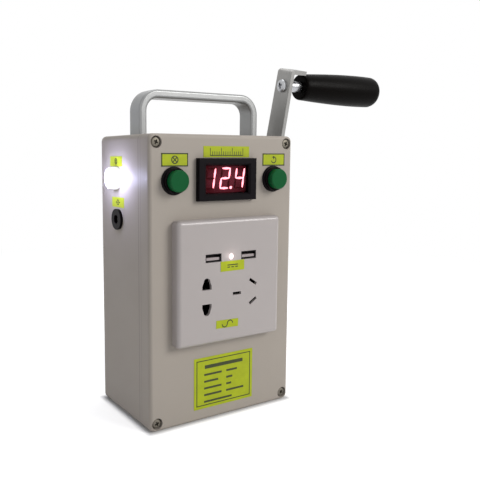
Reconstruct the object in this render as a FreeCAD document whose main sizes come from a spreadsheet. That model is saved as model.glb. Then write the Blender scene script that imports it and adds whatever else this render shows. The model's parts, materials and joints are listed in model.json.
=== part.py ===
import FreeCAD, Part
import math
import os

import Sketcher

# Hand crank generator: a carry box with a crank on its right side, a step-up gear train to a small
# generator, a battery pack, an inverter, and a front panel with a meter, two push buttons and a
# wall-plate style outlet. Millimetres. Origin: centre of the box's underside. +Z up, +X right, front at -Y.

SIZES = {
    # box
    "case_width": 120.0,
    "case_height": 200.0,
    "case_depth": 75.0,
    "cover_depth": 17.5,
    "case_wall": 3.0,
    "case_corner_radius": 4.0,
    "case_edge_radius": 2.5,
    "post_side": 10.0,
    "lip_thickness": 1.2,
    "lip_height": 2.4,
    "gasket_thickness": 0.6,
    # clearances
    "fit_gap": 0.3,
    "running_gap": 0.05,
    "press_gap": 0.02,
    # cover screws
    "cover_screw_inset": 5.5,
    "cover_screw_recess_radius": 4.0,
    "cover_screw_recess_depth": 3.0,
    "cover_screw_head_radius": 3.4,
    "cover_screw_head_height": 2.4,
    "cover_screw_radius": 1.75,
    "cover_screw_length": 24.0,
    "cover_screw_tip_gap": 1.0,
    # carry handle
    "handle_span": 102.0,
    "handle_height": 31.5,
    "handle_bar": 6.0,
    "handle_width": 16.0,
    "handle_corner_radius": 15.0,
    "handle_edge_radius": 1.8,
    "handle_screw_radius": 2.0,
    "handle_screw_head_radius": 4.0,
    "handle_screw_head_height": 2.4,
    "handle_screw_grip": 12.0,
    # outlet plate
    "plate_side": 86.0,
    "plate_thickness": 8.0,
    "plate_skin": 2.2,
    "plate_wall": 2.5,
    "plate_edge_radius": 3.0,
    "plate_corner_radius": 2.5,
    "frame_gap": 1.0,
    "frame_flange": 3.0,
    "module_width": 64.0,
    "module_height": 50.0,
    "module_depth": 21.0,
    "module_gap": 1.0,
    "outlet_screw_pitch": 60.3,
    "outlet_screw_radius": 1.75,
    "outlet_screw_head_radius": 3.2,
    "outlet_screw_head_height": 2.2,
    "outlet_screw_length": 8.0,
    "pin_row_drop": 9.7,
    "two_pin_x": -20.2,
    "two_pin_inner": 4.9,
    "two_pin_outer": 13.0,
    "two_pin_slot_width": 7.6,
    "two_pin_slot_height": 2.6,
    "two_pin_round_radius": 2.7,
    "earth_x": 5.0,
    "slot_length": 7.1,
    "slot_width": 2.1,
    "line_x": 19.0,
    "line_spread": 6.9,
    "line_tilt": 33.0,
    "channel_depth": 19.0,
    "contact_leaf": 0.5,
    "contact_gap": 1.3,
    "contact_width": 5.6,
    "contact_depth": 10.0,
    "usb_x": 14.9,
    "usb_rise": 16.7,
    "usb_width": 12.5,
    "usb_height": 5.1,
    "usb_wall": 0.4,
    "usb_depth": 14.0,
    "usb_tongue_width": 11.1,
    "usb_tongue_height": 1.84,
    "usb_tongue_lift": 0.5,
    "usb_tongue_setback": 0.9,
    "pilot_radius": 2.3,
    "pilot_length": 9.0,
    "pilot_proud": 0.6,
    # meter
    "meter_drop": 30.4,
    "meter_width": 48.4,
    "meter_height": 29.0,
    "meter_flange": 4.0,
    "meter_body_width": 45.0,
    "meter_body_height": 26.0,
    "meter_body_depth": 16.0,
    "meter_wall": 1.6,
    "meter_window_width": 36.0,
    "meter_window_height": 19.2,
    "meter_frame": 2.4,
    "meter_bevel": 1.2,
    "meter_pane": 1.2,
    "meter_display_gap": 0.5,
    "meter_display_depth": 6.5,
    "meter_board_thickness": 1.6,
    # push buttons
    "button_side_inset": 18.3,
    "button_drop": 30.8,
    "button_flange_radius": 9.4,
    "button_flange": 1.8,
    "button_collar_radius": 8.4,
    "button_collar": 4.4,
    "button_barrel_radius": 7.9,
    "button_barrel": 18.0,
    "button_block_radius": 6.6,
    "button_block": 21.5,
    "button_well_radius": 7.5,
    "button_well_floor": 5.6,
    "button_cap_front": 8.5,
    "button_cap_back": 1.6,
    "button_cap_edge": 0.6,
    "button_stem_radius": 2.2,
    "button_stem_end": 11.0,
    "button_stem_gap": 1.0,
    "button_travel": 3.0,
    "button_nut_flats": 19.6,
    "button_nut_thickness": 2.6,
    "spring_radius": 4.2,
    "spring_wire_radius": 0.35,
    "spring_pitch": 1.9,
    # side lamp
    "lamp_y": 11.0,
    "lamp_drop": 30.0,
    "lamp_flange_radius": 8.0,
    "lamp_flange": 2.0,
    "lamp_hood_radius": 7.2,
    "lamp_hood": 6.0,
    "lamp_barrel_radius": 6.5,
    "lamp_barrel": 15.0,
    "lamp_bore_radius": 5.4,
    "lamp_lens_seat": 5.0,
    "lamp_lens_radius": 6.1,
    "lamp_lens_thickness": 1.4,
    "lamp_floor": 2.0,
    "lamp_reflector_rim": 0.6,
    "lamp_led_radius": 2.6,
    "lamp_led_base_radius": 4.6,
    "lamp_led_base": 1.6,
    "lamp_nut_radius": 9.0,
    "lamp_nut_thickness": 3.0,
    # charge jack
    "jack_y": 8.5,
    "jack_drop": 59.0,
    "jack_flange_radius": 7.4,
    "jack_flange": 2.0,
    "jack_barrel_radius": 5.8,
    "jack_barrel": 14.0,
    "jack_bore_radius": 3.2,
    "jack_bore_depth": 11.0,
    "jack_pin_radius": 1.05,
    "jack_pin_setback": 1.5,
    "jack_nut_radius": 8.0,
    "jack_nut_thickness": 2.4,
    # stickers
    "label_thickness": 0.2,
    "label_shift": 0.9,
    "rating_label_width": 50.8,
    "rating_label_height": 37.0,
    "rating_label_level": 26.9,
    "button_label_width": 20.4,
    "button_label_height": 8.8,
    "button_label_rise": 13.8,
    "meter_label_width": 38.5,
    "meter_label_height": 7.6,
    "meter_label_rise": 18.8,
    "outlet_label_width": 20.0,
    "outlet_label_height": 7.0,
    "outlet_label_rise": 10.2,
    "mains_label_width": 18.6,
    "mains_label_height": 5.6,
    "mains_label_x": -3.2,
    "mains_label_drop": 30.2,
    "mains_label_tilt": -1.5,
    "side_label_width": 19.0,
    "side_label_height": 7.0,
    "lamp_label_rise": 11.8,
    "jack_label_rise": 12.0,
    # crank
    "crank_drop": 39.0,
    "crank_radius": 80.0,
    "crank_lean": 13.5,
    "crank_shaft_radius": 4.0,
    "crank_collar_radius": 6.5,
    "crank_end_radius": 3.0,
    "crank_end_length": 10.0,
    "bush_radius": 6.5,
    "bush_flange_radius": 10.0,
    "bush_flange": 3.0,
    "arm_standoff": 6.0,
    "arm_thickness": 3.0,
    "arm_foot_radius": 9.5,
    "arm_tip_width": 16.0,
    "arm_tip_reach": 12.4,
    "arm_tab_length": 13.0,
    "arm_tab_taper": 1.5,
    "arm_bend_radius": 2.7,
    "arm_edge_radius": 0.5,
    "crank_nut_flats": 10.0,
    "crank_nut_thickness": 5.0,
    # grip
    "grip_gap": 14.0,
    "grip_length": 80.0,
    "grip_inner_radius": 9.8,
    "grip_belly_radius": 12.4,
    "grip_belly_at": 62.0,
    "grip_outer_radius": 12.0,
    "grip_inner_edge": 1.2,
    "grip_outer_edge": 4.5,
    "grip_cap_radius": 7.0,
    "grip_cap_depth": 4.0,
    "grip_recess_depth": 12.0,
    "spindle_radius": 3.0,
    "spindle_shoulder_radius": 4.2,
    "spindle_head_radius": 4.8,
    "spindle_head_height": 2.6,
    "spindle_thread": 6.0,
    "grip_nut_flats": 9.0,
    "grip_nut_thickness": 4.0,
    # gear train
    "gear_module": 0.8,
    "wheel_teeth": 60,
    "idler_teeth": 45,
    "pinion_teeth": 15,
    "gear_addendum": 0.72,
    "gear_dedendum": 1.2,
    "pressure_angle": 20.0,
    "gear_backlash": 0.22,
    "gear_width": 4.0,
    "gear_spacing": 1.4,
    "gear_plate_gap": 1.0,
    "gear_plate_thickness": 1.5,
    "wheel_web_hole_radius": 5.0,
    "wheel_web_hole_reach": 15.5,
    "wheel_web_holes": 6,
    "idler_shaft_radius": 2.0,
    "generator_shaft_radius": 2.0,
    "pillar_radius": 3.0,
    "pillar_clearance": 2.2,
    "front_pillar_angle": 213.0,
    "back_pillar_angle": -36.0,
    "top_pillar_angle": 41.0,
    "gear_plate_margin": 4.5,
    "gearbox_screw_radius": 1.5,
    "gearbox_screw_head_radius": 2.8,
    "gearbox_screw_head_height": 1.6,
    # generator
    "generator_radius": 18.0,
    "generator_back_gap": 2.5,
    "generator_length": 50.0,
    "generator_wall": 1.4,
    "generator_boss_radius": 5.0,
    "generator_boss": 3.0,
    "generator_cap_thickness": 3.0,
    "magnet_thickness": 2.4,
    "magnet_length": 34.0,
    "magnet_split": 7.2,
    "rotor_gap": 0.5,
    "rotor_length": 28.0,
    "rotor_slot_width": 2.4,
    "rotor_slot_depth": 6.0,
    "rotor_slots": 5,
    # battery pack
    "cell_radius": 9.15,
    "cell_length": 65.0,
    "cell_pitch": 18.9,
    "holder_thickness": 3.8,
    "holder_pocket": 2.5,
    "holder_margin": 0.9,
    "holder_corner_radius": 3.0,
    "holder_post_gap": 1.05,
    "holder_back_gap": 0.2,
    # circuit boards
    "board_thickness": 1.6,
    "board_standoff": 6.0,
    "standoff_radius": 2.6,
    "standoff_inset": 4.0,
    "inverter_side_gap": 4.0,
    "inverter_battery_gap": 3.0,
    "inverter_floor_gap": 13.0,
    "inverter_generator_gap": 4.8,
    "charger_side_gap": 8.0,
    "charger_generator_gap": 3.6,
    "charger_bottom": 92.0,
    "charger_height": 34.0,
    "part_gap": 3.0,
    "core_width": 28.0,
    "core_yoke": 4.0,
    "core_depth": 12.0,
    "coil_width": 17.0,
    "coil_depth": 22.0,
    "coil_corner_radius": 1.5,
    "capacitor_radius": 6.0,
    "capacitor_gap": 2.0,
    "capacitor_length": 20.0,
    "capacitor_edge": 0.6,
    "sink_width": 30.0,
    "sink_height": 12.0,
    "sink_depth": 18.0,
    "sink_base": 3.0,
    "fin_thickness": 1.5,
    "fin_count": 5,
}

# Two places nearer than this count as the same
TOUCH = 0.01

doc = FreeCAD.newDocument("HandCrankGenerator")
sheet = doc.addObject("Spreadsheet::Sheet", "dims")


class Size:
    """A length that carries its number and the sheet expression that gives it."""

    def __init__(self, number, text):
        self.number = number
        self.text = text

    def __add__(self, other):
        other = sized(other)
        return Size(self.number + other.number, f"({self.text} + {other.text})")

    def __radd__(self, other):
        return sized(other) + self

    def __sub__(self, other):
        other = sized(other)
        return Size(self.number - other.number, f"({self.text} - {other.text})")

    def __rsub__(self, other):
        return sized(other) - self

    def __mul__(self, other):
        other = sized(other)
        return Size(self.number * other.number, f"({self.text} * {other.text})")

    def __rmul__(self, other):
        return sized(other) * self

    def __truediv__(self, other):
        other = sized(other)
        return Size(self.number / other.number, f"({self.text} / {other.text})")

    def __rtruediv__(self, other):
        return sized(other) / self

    def __neg__(self):
        return Size(-self.number, f"(-{self.text})")


def sized(value):
    return value if isinstance(value, Size) else Size(float(value), f"({float(value)})")


def cosine(angle):
    angle = sized(angle)
    return Size(math.cos(math.radians(angle.number)), f"cos({angle.text})")


def sine(angle):
    angle = sized(angle)
    return Size(math.sin(math.radians(angle.number)), f"sin({angle.text})")


def angle_with_cosine(share):
    share = sized(share)
    return Size(math.degrees(math.acos(share.number)), f"(acos({share.text}) / 1 deg)")


class Dimensions:
    """The sheet's sizes by name, each as a Size."""

    def __init__(self, sizes):
        for row, (name, number) in enumerate(sizes.items(), start=1):
            sheet.set(f"A{row}", name)
            sheet.set(f"B{row}", str(number))
            sheet.setAlias(f"B{row}", name)
            setattr(self, name, Size(float(number), f"dims.{name}"))


dim = Dimensions(SIZES)
doc.recompute()


def bind(item, path, size):
    item.setExpression(path, sized(size).text)


class Piece:
    """One piece of the object: a body whose sketches and features follow the sheet.

    Outlines are drawn on the planes XY, XZ and YZ, each at a stated place along the third axis, and every
    pad and pocket runs from there towards the positive end of that axis.
    """

    normal_sign = {"XY": 1, "XZ": -1, "YZ": 1}
    made = []

    def __init__(self, label, several=False):
        self.body = doc.addObject("PartDesign::Body", label)
        self.body.Label = label
        self.body.AllowCompound = several
        self.planes = {item.Role: item for item in self.body.Origin.OriginFeatures}
        Piece.made.append(self.body)

    def sketch(self, plane, start):
        drawing = self.body.newObject("Sketcher::SketchObject", "Sketch")
        drawing.AttachmentSupport = (self.planes[f"{plane}_Plane"], [""])
        drawing.MapMode = "FlatFace"
        bind(drawing, "AttachmentOffset.Base.z", sized(start) * self.normal_sign[plane])
        return drawing

    def feature(self, kind, name):
        return self.body.newObject(f"PartDesign::{kind}", name)

    def pad(self, plane, start, length, *outlines):
        drawing = self.sketch(plane, start)
        for outline in outlines:
            outline(drawing)
        pad = self.feature("Pad", "Pad")
        pad.Profile = drawing
        pad.Reversed = self.normal_sign[plane] < 0
        bind(pad, "Length", length)
        return pad

    def pocket(self, plane, start, length, *outlines):
        drawing = self.sketch(plane, start)
        for outline in outlines:
            outline(drawing)
        pocket = self.feature("Pocket", "Pocket")
        pocket.Profile = drawing
        pocket.Reversed = self.normal_sign[plane] > 0
        bind(pocket, "Length", length)
        return pocket

    def turn(self, corners):
        """Revolves an outline of (radius, along) corners about the body's own Z axis."""
        drawing = self.sketch("XZ", 0)
        loop(corners)(drawing)
        turned = self.feature("Revolution", "Revolution")
        turned.Profile = drawing
        turned.ReferenceAxis = (drawing, ["V_Axis"])
        turned.Angle = 360
        return turned

    def edges(self, chosen):
        doc.recompute()
        shape = self.body.Tip.Shape
        return [f"Edge{n}" for n, edge in enumerate(shape.Edges, start=1) if chosen(edge)]

    def fillet(self, radius, chosen):
        names = self.edges(chosen)
        base = self.body.Tip
        fillet = self.feature("Fillet", "Fillet")
        fillet.Base = (base, names)
        bind(fillet, "Radius", radius)

    def chamfer(self, size, chosen):
        names = self.edges(chosen)
        base = self.body.Tip
        chamfer = self.feature("Chamfer", "Chamfer")
        chamfer.Base = (base, names)
        bind(chamfer, "Size", size)

    def ring_of(self, item, axis, count):
        """Repeats the last feature around one of the body's own axes."""
        pattern = self.feature("PolarPattern", "PolarPattern")
        pattern.Originals = [item]
        pattern.Axis = (self.planes[f"{axis}_Axis"], [""])
        pattern.Angle = 360
        bind(pattern, "Occurrences", count)
        self.body.Tip = pattern

    def place(self, x=0, y=0, z=0, turned_about=(0, 0, 1), angle=0):
        self.body.Placement = FreeCAD.Placement(
            FreeCAD.Vector(sized(x).number, sized(y).number, sized(z).number),
            FreeCAD.Rotation(FreeCAD.Vector(*turned_about), sized(angle).number),
        )
        bind(self.body, "Placement.Base.x", x)
        bind(self.body, "Placement.Base.y", y)
        bind(self.body, "Placement.Base.z", z)
        if isinstance(angle, Size):
            bind(self.body, "Placement.Rotation.Angle", angle)


# A turned piece is drawn about its own Z axis, which these turn to face right, left or the front.
FACING_RIGHT = {"turned_about": (0, 1, 0), "angle": 90}
FACING_LEFT = {"turned_about": (0, 1, 0), "angle": -90}
FACING_FRONT = {"turned_about": (1, 0, 0), "angle": 90}


def hold(drawing, kind, *where_and_size):
    """Adds a measured constraint that follows the sheet."""
    *where, size = where_and_size
    size = sized(size)
    index = drawing.addConstraint(Sketcher.Constraint(kind, *where, size.number))
    drawing.setExpression(f"Constraints[{index}]", size.text)


def hold_point(drawing, geometry, end, u, v):
    hold(drawing, "DistanceX", -1, 1, geometry, end, u)
    hold(drawing, "DistanceY", -1, 1, geometry, end, v)


def arc_between(start, end, radius):
    """The short arc that turns left from start to end, or right when the radius is negative."""
    if radius < 0:
        start, end = end, start
    chord = end - start
    rise = math.sqrt(max(radius**2 - (chord.Length / 2) ** 2, 0))
    left = FreeCAD.Vector(-chord.y, chord.x, 0).normalize()
    centre = (start + end) / 2 + left * rise
    first = math.atan2(start.y - centre.y, start.x - centre.x)
    last = math.atan2(end.y - centre.y, end.x - centre.x)
    return Part.ArcOfCircle(Part.Circle(centre, FreeCAD.Vector(0, 0, 1), abs(radius)), first, last)


def loop(corners):
    """A closed outline of (u, v) corners. A third value is the radius of an arc that runs on from there."""

    def draw(drawing):
        corners_here = [[sized(value) for value in corner] for corner in corners]
        runs = []
        for here, after in zip(corners_here, corners_here[1:] + corners_here[:1]):
            start = FreeCAD.Vector(here[0].number, here[1].number, 0)
            end = FreeCAD.Vector(after[0].number, after[1].number, 0)
            if len(here) == 3:
                radius = here[2]
                curve = drawing.addGeometry(arc_between(start, end, radius.number), False)
                runs.append((curve, 1, 2) if radius.number > 0 else (curve, 2, 1))
                hold(drawing, "Radius", curve, radius if radius.number > 0 else -radius)
            else:
                runs.append((drawing.addGeometry(Part.LineSegment(start, end), False), 1, 2))
        for (curve, first, last), (following, start, end) in zip(runs, runs[1:] + runs[:1]):
            drawing.addConstraint(Sketcher.Constraint("Coincident", curve, last, following, start))
        for (curve, first, last), corner in zip(runs, corners_here):
            hold_point(drawing, curve, first, corner[0], corner[1])

    return draw


def rectangle(u, v, width, height):
    """A rectangle about its centre."""
    u, v, width, height = (sized(value) for value in (u, v, width, height))
    left, right = u - width / 2, u + width / 2
    low, high = v - height / 2, v + height / 2
    return loop([(left, low), (right, low), (right, high), (left, high)])


def rounded_rectangle(u, v, width, height, radius):
    u, v, width, height, radius = (sized(value) for value in (u, v, width, height, radius))
    left, right = u - width / 2, u + width / 2
    low, high = v - height / 2, v + height / 2
    return loop(
        [
            (left + radius, low),
            (right - radius, low, radius),
            (right, low + radius),
            (right, high - radius, radius),
            (right - radius, high),
            (left + radius, high, radius),
            (left, high - radius),
            (left, low + radius, radius),
        ]
    )


def bar(u, v, length, width, tilt):
    """A rectangle about its centre, with its length tilted up from the first axis."""
    u, v, length, width = (sized(value) for value in (u, v, length, width))
    along = (cosine(tilt) * length / 2, sine(tilt) * length / 2)
    across = (-sine(tilt) * width / 2, cosine(tilt) * width / 2)
    signs = [(-1, -1), (1, -1), (1, 1), (-1, 1)]
    return loop([(u + a * along[0] + b * across[0], v + a * along[1] + b * across[1]) for a, b in signs])


def circle(u, v, radius):
    def draw(drawing):
        centre = FreeCAD.Vector(sized(u).number, sized(v).number, 0)
        curve = drawing.addGeometry(
            Part.Circle(centre, FreeCAD.Vector(0, 0, 1), sized(radius).number), False
        )
        hold_point(drawing, curve, 3, u, v)
        hold(drawing, "Radius", curve, radius)

    return draw


def hexagon(u, v, flats):
    reach = sized(flats) / 2 / cosine(30)
    return loop([(u + reach * cosine(60 * n), v + reach * sine(60 * n)) for n in range(6)])


def along(axis, also=lambda edge: True):
    """Chooses the straight edges that run along an axis."""
    direction = FreeCAD.Vector(*[1 if name == axis else 0 for name in "XYZ"])

    def chosen(edge):
        if not isinstance(edge.Curve, Part.Line):
            return False
        return abs(edge.tangentAt(edge.FirstParameter).dot(direction)) > 0.999 and also(edge)

    return chosen


def lying_at(axis, place, also=lambda edge: True):
    """Chooses the edges that lie in one plane across an axis."""
    number = sized(place).number

    def chosen(edge):
        box = edge.BoundBox
        low, high = getattr(box, f"{axis}Min"), getattr(box, f"{axis}Max")
        return abs(low - number) < TOUCH and abs(high - number) < TOUCH and also(edge)

    return chosen


def beyond(axis, distance, axis_centre=0):
    """Accepts edges that lie further than a distance from a centre along an axis."""
    limit, centre = sized(distance).number, sized(axis_centre).number

    def chosen(edge):
        box = edge.BoundBox
        low, high = getattr(box, f"{axis}Min"), getattr(box, f"{axis}Max")
        return min(abs(low - centre), abs(high - centre)) > limit

    return chosen


# Places that several pieces share
half_width = dim.case_width / 2
button_x = half_width - dim.button_side_inset
middle_height = dim.case_height / 2
front = -dim.case_depth / 2
back = dim.case_depth / 2
seam = front + dim.cover_depth
inner_front = front + dim.case_wall
outlet_level = middle_height
meter_level = dim.case_height - dim.meter_drop
button_level = dim.case_height - dim.button_drop
lamp_level = dim.case_height - dim.lamp_drop
jack_level = dim.case_height - dim.jack_drop
crank_level = dim.case_height - dim.crank_drop
inner_back = back - dim.case_wall
inner_side = half_width - dim.case_wall
screw_columns = (-(half_width - dim.cover_screw_inset), half_width - dim.cover_screw_inset)
screw_rows = (dim.cover_screw_inset, dim.case_height - dim.cover_screw_inset)
screw_places = [(x, z) for x in screw_columns for z in screw_rows]


def at_screws(outline):
    return [outline(x, z) for x, z in screw_places]


def inset_outline(inset):
    """The box's outline seen from the front, drawn in by an inset."""
    return rounded_rectangle(
        0,
        middle_height,
        dim.case_width - 2 * inset,
        dim.case_height - 2 * inset,
        dim.case_corner_radius - inset,
    )


def corner_posts():
    """The square screw posts in the box's four inside corners."""
    x = inner_side - dim.post_side / 2
    low = dim.case_wall + dim.post_side / 2
    return [
        rectangle(side * x, z, dim.post_side, dim.post_side)
        for side in (-1, 1)
        for z in (low, dim.case_height - low)
    ]


def cavity(piece, start, length):
    piece.pocket(
        "XZ",
        start,
        length,
        rectangle(
            0,
            middle_height,
            dim.case_width - 2 * dim.case_wall,
            dim.case_height - 2 * dim.case_wall,
        ),
    )


# Box
handle_screw_x = dim.handle_span / 2 - dim.handle_bar / 2
lip_inset = dim.case_wall - dim.lip_thickness
groove_inset = lip_inset - dim.fit_gap


def make_case_shell():
    depth = dim.case_depth - dim.cover_depth
    shell = Piece("case_shell")
    shell.pad("XZ", seam, depth, inset_outline(sized(0)))
    shell.fillet(dim.case_edge_radius, lying_at("Y", back))
    cavity(shell, seam, depth - dim.case_wall)
    shell.pad("XZ", seam, depth - dim.case_wall, *corner_posts())
    shell.pad(
        "XZ",
        seam - dim.lip_height,
        dim.lip_height,
        inset_outline(lip_inset),
        rectangle(
            0,
            middle_height,
            dim.case_width - 2 * dim.case_wall,
            dim.case_height - 2 * dim.case_wall,
        ),
    )
    screw_end = front + dim.cover_screw_recess_depth + dim.cover_screw_length
    shell.pocket(
        "XZ",
        seam,
        screw_end + dim.cover_screw_tip_gap - seam,
        *at_screws(lambda x, z: circle(x, z, dim.cover_screw_radius + dim.press_gap)),
    )
    hole = dim.handle_screw_radius + dim.fit_gap
    shell.pocket(
        "XY",
        dim.case_height - dim.case_wall,
        dim.case_wall,
        circle(-handle_screw_x, 0, hole),
        circle(handle_screw_x, 0, hole),
    )
    notch = dim.handle_screw_head_radius + dim.fit_gap
    shell.pocket(
        "XY",
        dim.case_height - dim.case_wall - dim.post_side,
        dim.post_side,
        circle(-handle_screw_x, 0, notch),
        circle(handle_screw_x, 0, notch),
    )
    shell.pocket(
        "YZ",
        -half_width,
        dim.case_wall,
        circle(dim.lamp_y, lamp_level, dim.lamp_barrel_radius + dim.fit_gap),
        circle(dim.jack_y, jack_level, dim.jack_barrel_radius + dim.fit_gap),
    )
    shell.pocket(
        "YZ",
        inner_side,
        dim.case_wall,
        circle(0, crank_level, dim.bush_radius + dim.press_gap),
        *[circle(y, z, dim.gearbox_screw_radius + dim.fit_gap) for y, z in pillars],
    )


def make_front_cover():
    cover = Piece("front_cover")
    cover.pad("XZ", front, dim.cover_depth, inset_outline(sized(0)))
    cover.fillet(dim.case_edge_radius, lying_at("Y", front))
    inner_depth = dim.cover_depth - dim.case_wall
    cavity(cover, inner_front, inner_depth)
    cover.pad("XZ", inner_front, inner_depth, *corner_posts())
    groove_depth = dim.lip_height + dim.gasket_thickness
    cover.pocket(
        "XZ",
        seam - groove_depth,
        groove_depth,
        inset_outline(groove_inset),
        rectangle(
            0,
            middle_height,
            dim.case_width - 2 * dim.case_wall,
            dim.case_height - 2 * dim.case_wall,
        ),
    )
    cover.pocket(
        "XZ",
        front,
        dim.cover_depth,
        *at_screws(lambda x, z: circle(x, z, dim.cover_screw_radius + dim.fit_gap)),
    )
    cover.pocket(
        "XZ",
        front,
        dim.cover_screw_recess_depth,
        *at_screws(lambda x, z: circle(x, z, dim.cover_screw_recess_radius)),
    )
    cover.pocket(
        "XZ",
        front,
        dim.case_wall,
        rectangle(
            0,
            meter_level,
            dim.meter_body_width + 2 * dim.fit_gap,
            dim.meter_body_height + 2 * dim.fit_gap,
        ),
        rectangle(
            0,
            outlet_level,
            dim.module_width + 2 * dim.module_gap,
            dim.module_height + 2 * dim.module_gap,
        ),
        *[
            circle(side * button_x, button_level, dim.button_barrel_radius + dim.fit_gap)
            for side in (-1, 1)
        ],
        *[circle(0, z, dim.outlet_screw_radius + dim.press_gap) for z in outlet_screw_heights],
    )


def make_cover_gasket():
    gasket = Piece("cover_gasket")
    gasket.pad(
        "XZ",
        seam - dim.lip_height - dim.gasket_thickness,
        dim.gasket_thickness,
        inset_outline(lip_inset),
        rectangle(
            0,
            middle_height,
            dim.case_width - 2 * dim.case_wall,
            dim.case_height - 2 * dim.case_wall,
        ),
    )


def make_cover_screws():
    seat = front + dim.cover_screw_recess_depth
    screws = Piece("cover_screws", several=True)
    screws.pad(
        "XZ",
        seat - dim.cover_screw_head_height,
        dim.cover_screw_head_height,
        *at_screws(lambda x, z: circle(x, z, dim.cover_screw_head_radius)),
    )
    screws.fillet(dim.cover_screw_head_height / 3, lying_at("Y", seat - dim.cover_screw_head_height))
    screws.pad(
        "XZ",
        seat,
        dim.cover_screw_length,
        *at_screws(lambda x, z: circle(x, z, dim.cover_screw_radius)),
    )


def make_carry_handle():
    outer, height, bend = dim.handle_span / 2, dim.handle_height, dim.handle_corner_radius
    inner = outer - dim.handle_bar
    foot, top = dim.case_height, dim.case_height + height
    under, inner_bend = top - dim.handle_bar, bend - dim.handle_bar
    handle = Piece("carry_handle")
    handle.pad(
        "XZ",
        -dim.handle_width / 2,
        dim.handle_width,
        loop(
            [
                (outer, foot),
                (outer, top - bend, bend),
                (outer - bend, top),
                (bend - outer, top, bend),
                (-outer, top - bend),
                (-outer, foot),
                (-inner, foot),
                (-inner, under - inner_bend, -inner_bend),
                (inner_bend - inner, under),
                (inner - inner_bend, under, -inner_bend),
                (inner, under - inner_bend),
                (inner, foot),
            ]
        ),
    )
    not_at_foot = beyond("Z", TOUCH, foot)
    handle.fillet(dim.handle_edge_radius, lying_at("Y", -dim.handle_width / 2, not_at_foot))
    handle.fillet(dim.handle_edge_radius, lying_at("Y", dim.handle_width / 2, not_at_foot))
    thread = dim.handle_screw_radius + dim.press_gap
    handle.pocket(
        "XY",
        foot,
        dim.handle_screw_grip,
        circle(-handle_screw_x, 0, thread),
        circle(handle_screw_x, 0, thread),
    )


def make_handle_screws():
    ceiling = dim.case_height - dim.case_wall
    reach = dim.case_wall + dim.handle_screw_grip - dim.fit_gap
    screws = Piece("handle_screws", several=True)
    columns = (-handle_screw_x, handle_screw_x)
    screws.pad(
        "XY",
        ceiling - dim.handle_screw_head_height,
        dim.handle_screw_head_height,
        *[circle(x, 0, dim.handle_screw_head_radius) for x in columns],
    )
    screws.pad("XY", ceiling, reach, *[circle(x, 0, dim.handle_screw_radius) for x in columns])


# Outlet: a snap-on faceplate over a screwed frame whose rear module holds the contacts
outlet_screw_heights = [outlet_level + side * dim.outlet_screw_pitch / 2 for side in (-1, 1)]
plate_front = front - dim.plate_thickness
deck_front = plate_front + dim.plate_skin
pin_height = outlet_level - dim.pin_row_drop
usb_height_centre = outlet_level + dim.usb_rise
line_places = [(side, pin_height + side * dim.line_spread) for side in (-1, 1)]


def two_pin_hole(side, grow):
    """A bell-shaped hole: a flat slot at the inner end and a round pin's hole beyond it."""
    base = pin_height + side * (dim.two_pin_inner - grow)
    shoulder = pin_height + side * (dim.two_pin_inner + dim.two_pin_slot_height + grow)
    round_centre = pin_height + side * (dim.two_pin_outer - dim.two_pin_round_radius)
    wide, narrow = dim.two_pin_slot_width / 2 + grow, dim.two_pin_round_radius + grow
    x = dim.two_pin_x
    bend = side * narrow
    right_side = [(x - side * wide, base), (x + side * wide, base), (x + side * wide, shoulder)]
    if side > 0:
        return loop(
            right_side
            + [(x + narrow, round_centre, narrow), (x, round_centre + narrow, narrow)]
            + [(x - narrow, round_centre), (x - wide, shoulder)]
        )
    return loop(
        [(x + wide, base), (x - wide, base), (x - wide, shoulder)]
        + [(x - narrow, round_centre, narrow), (x, round_centre - narrow, narrow)]
        + [(x + narrow, round_centre), (x + wide, shoulder)]
    )


def pin_holes(grow):
    """The outlet's five pin holes, each grown by a margin all round."""
    slots = [bar(dim.earth_x, pin_height, dim.slot_length + 2 * grow, dim.slot_width + 2 * grow, 0)]
    for side, height in line_places:
        tilt = -side * dim.line_tilt
        length, width = dim.slot_length + 2 * grow, dim.slot_width + 2 * grow
        slots.append(bar(dim.line_x, height, length, width, tilt))
    return slots + [two_pin_hole(side, grow) for side in (-1, 1)]


def usb_windows(grow):
    width, height = dim.usb_width + 2 * grow, dim.usb_height + 2 * grow
    return [rectangle(side * dim.usb_x, usb_height_centre, width, height) for side in (-1, 1)]


def make_socket_faceplate():
    plate = Piece("socket_faceplate")
    side = dim.plate_side
    plate.pad(
        "XZ",
        plate_front,
        dim.plate_thickness,
        rounded_rectangle(0, outlet_level, side, side, dim.plate_corner_radius),
    )
    plate.fillet(dim.plate_edge_radius, lying_at("Y", plate_front))
    inside = side - 2 * dim.plate_wall
    plate.pocket(
        "XZ",
        deck_front,
        dim.plate_thickness - dim.plate_skin,
        rectangle(0, outlet_level, inside, inside),
    )
    plate.pocket(
        "XZ",
        plate_front,
        dim.plate_skin,
        circle(0, usb_height_centre, dim.pilot_radius + dim.running_gap),
        *usb_windows(dim.fit_gap),
        *pin_holes(sized(0)),
    )


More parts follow.
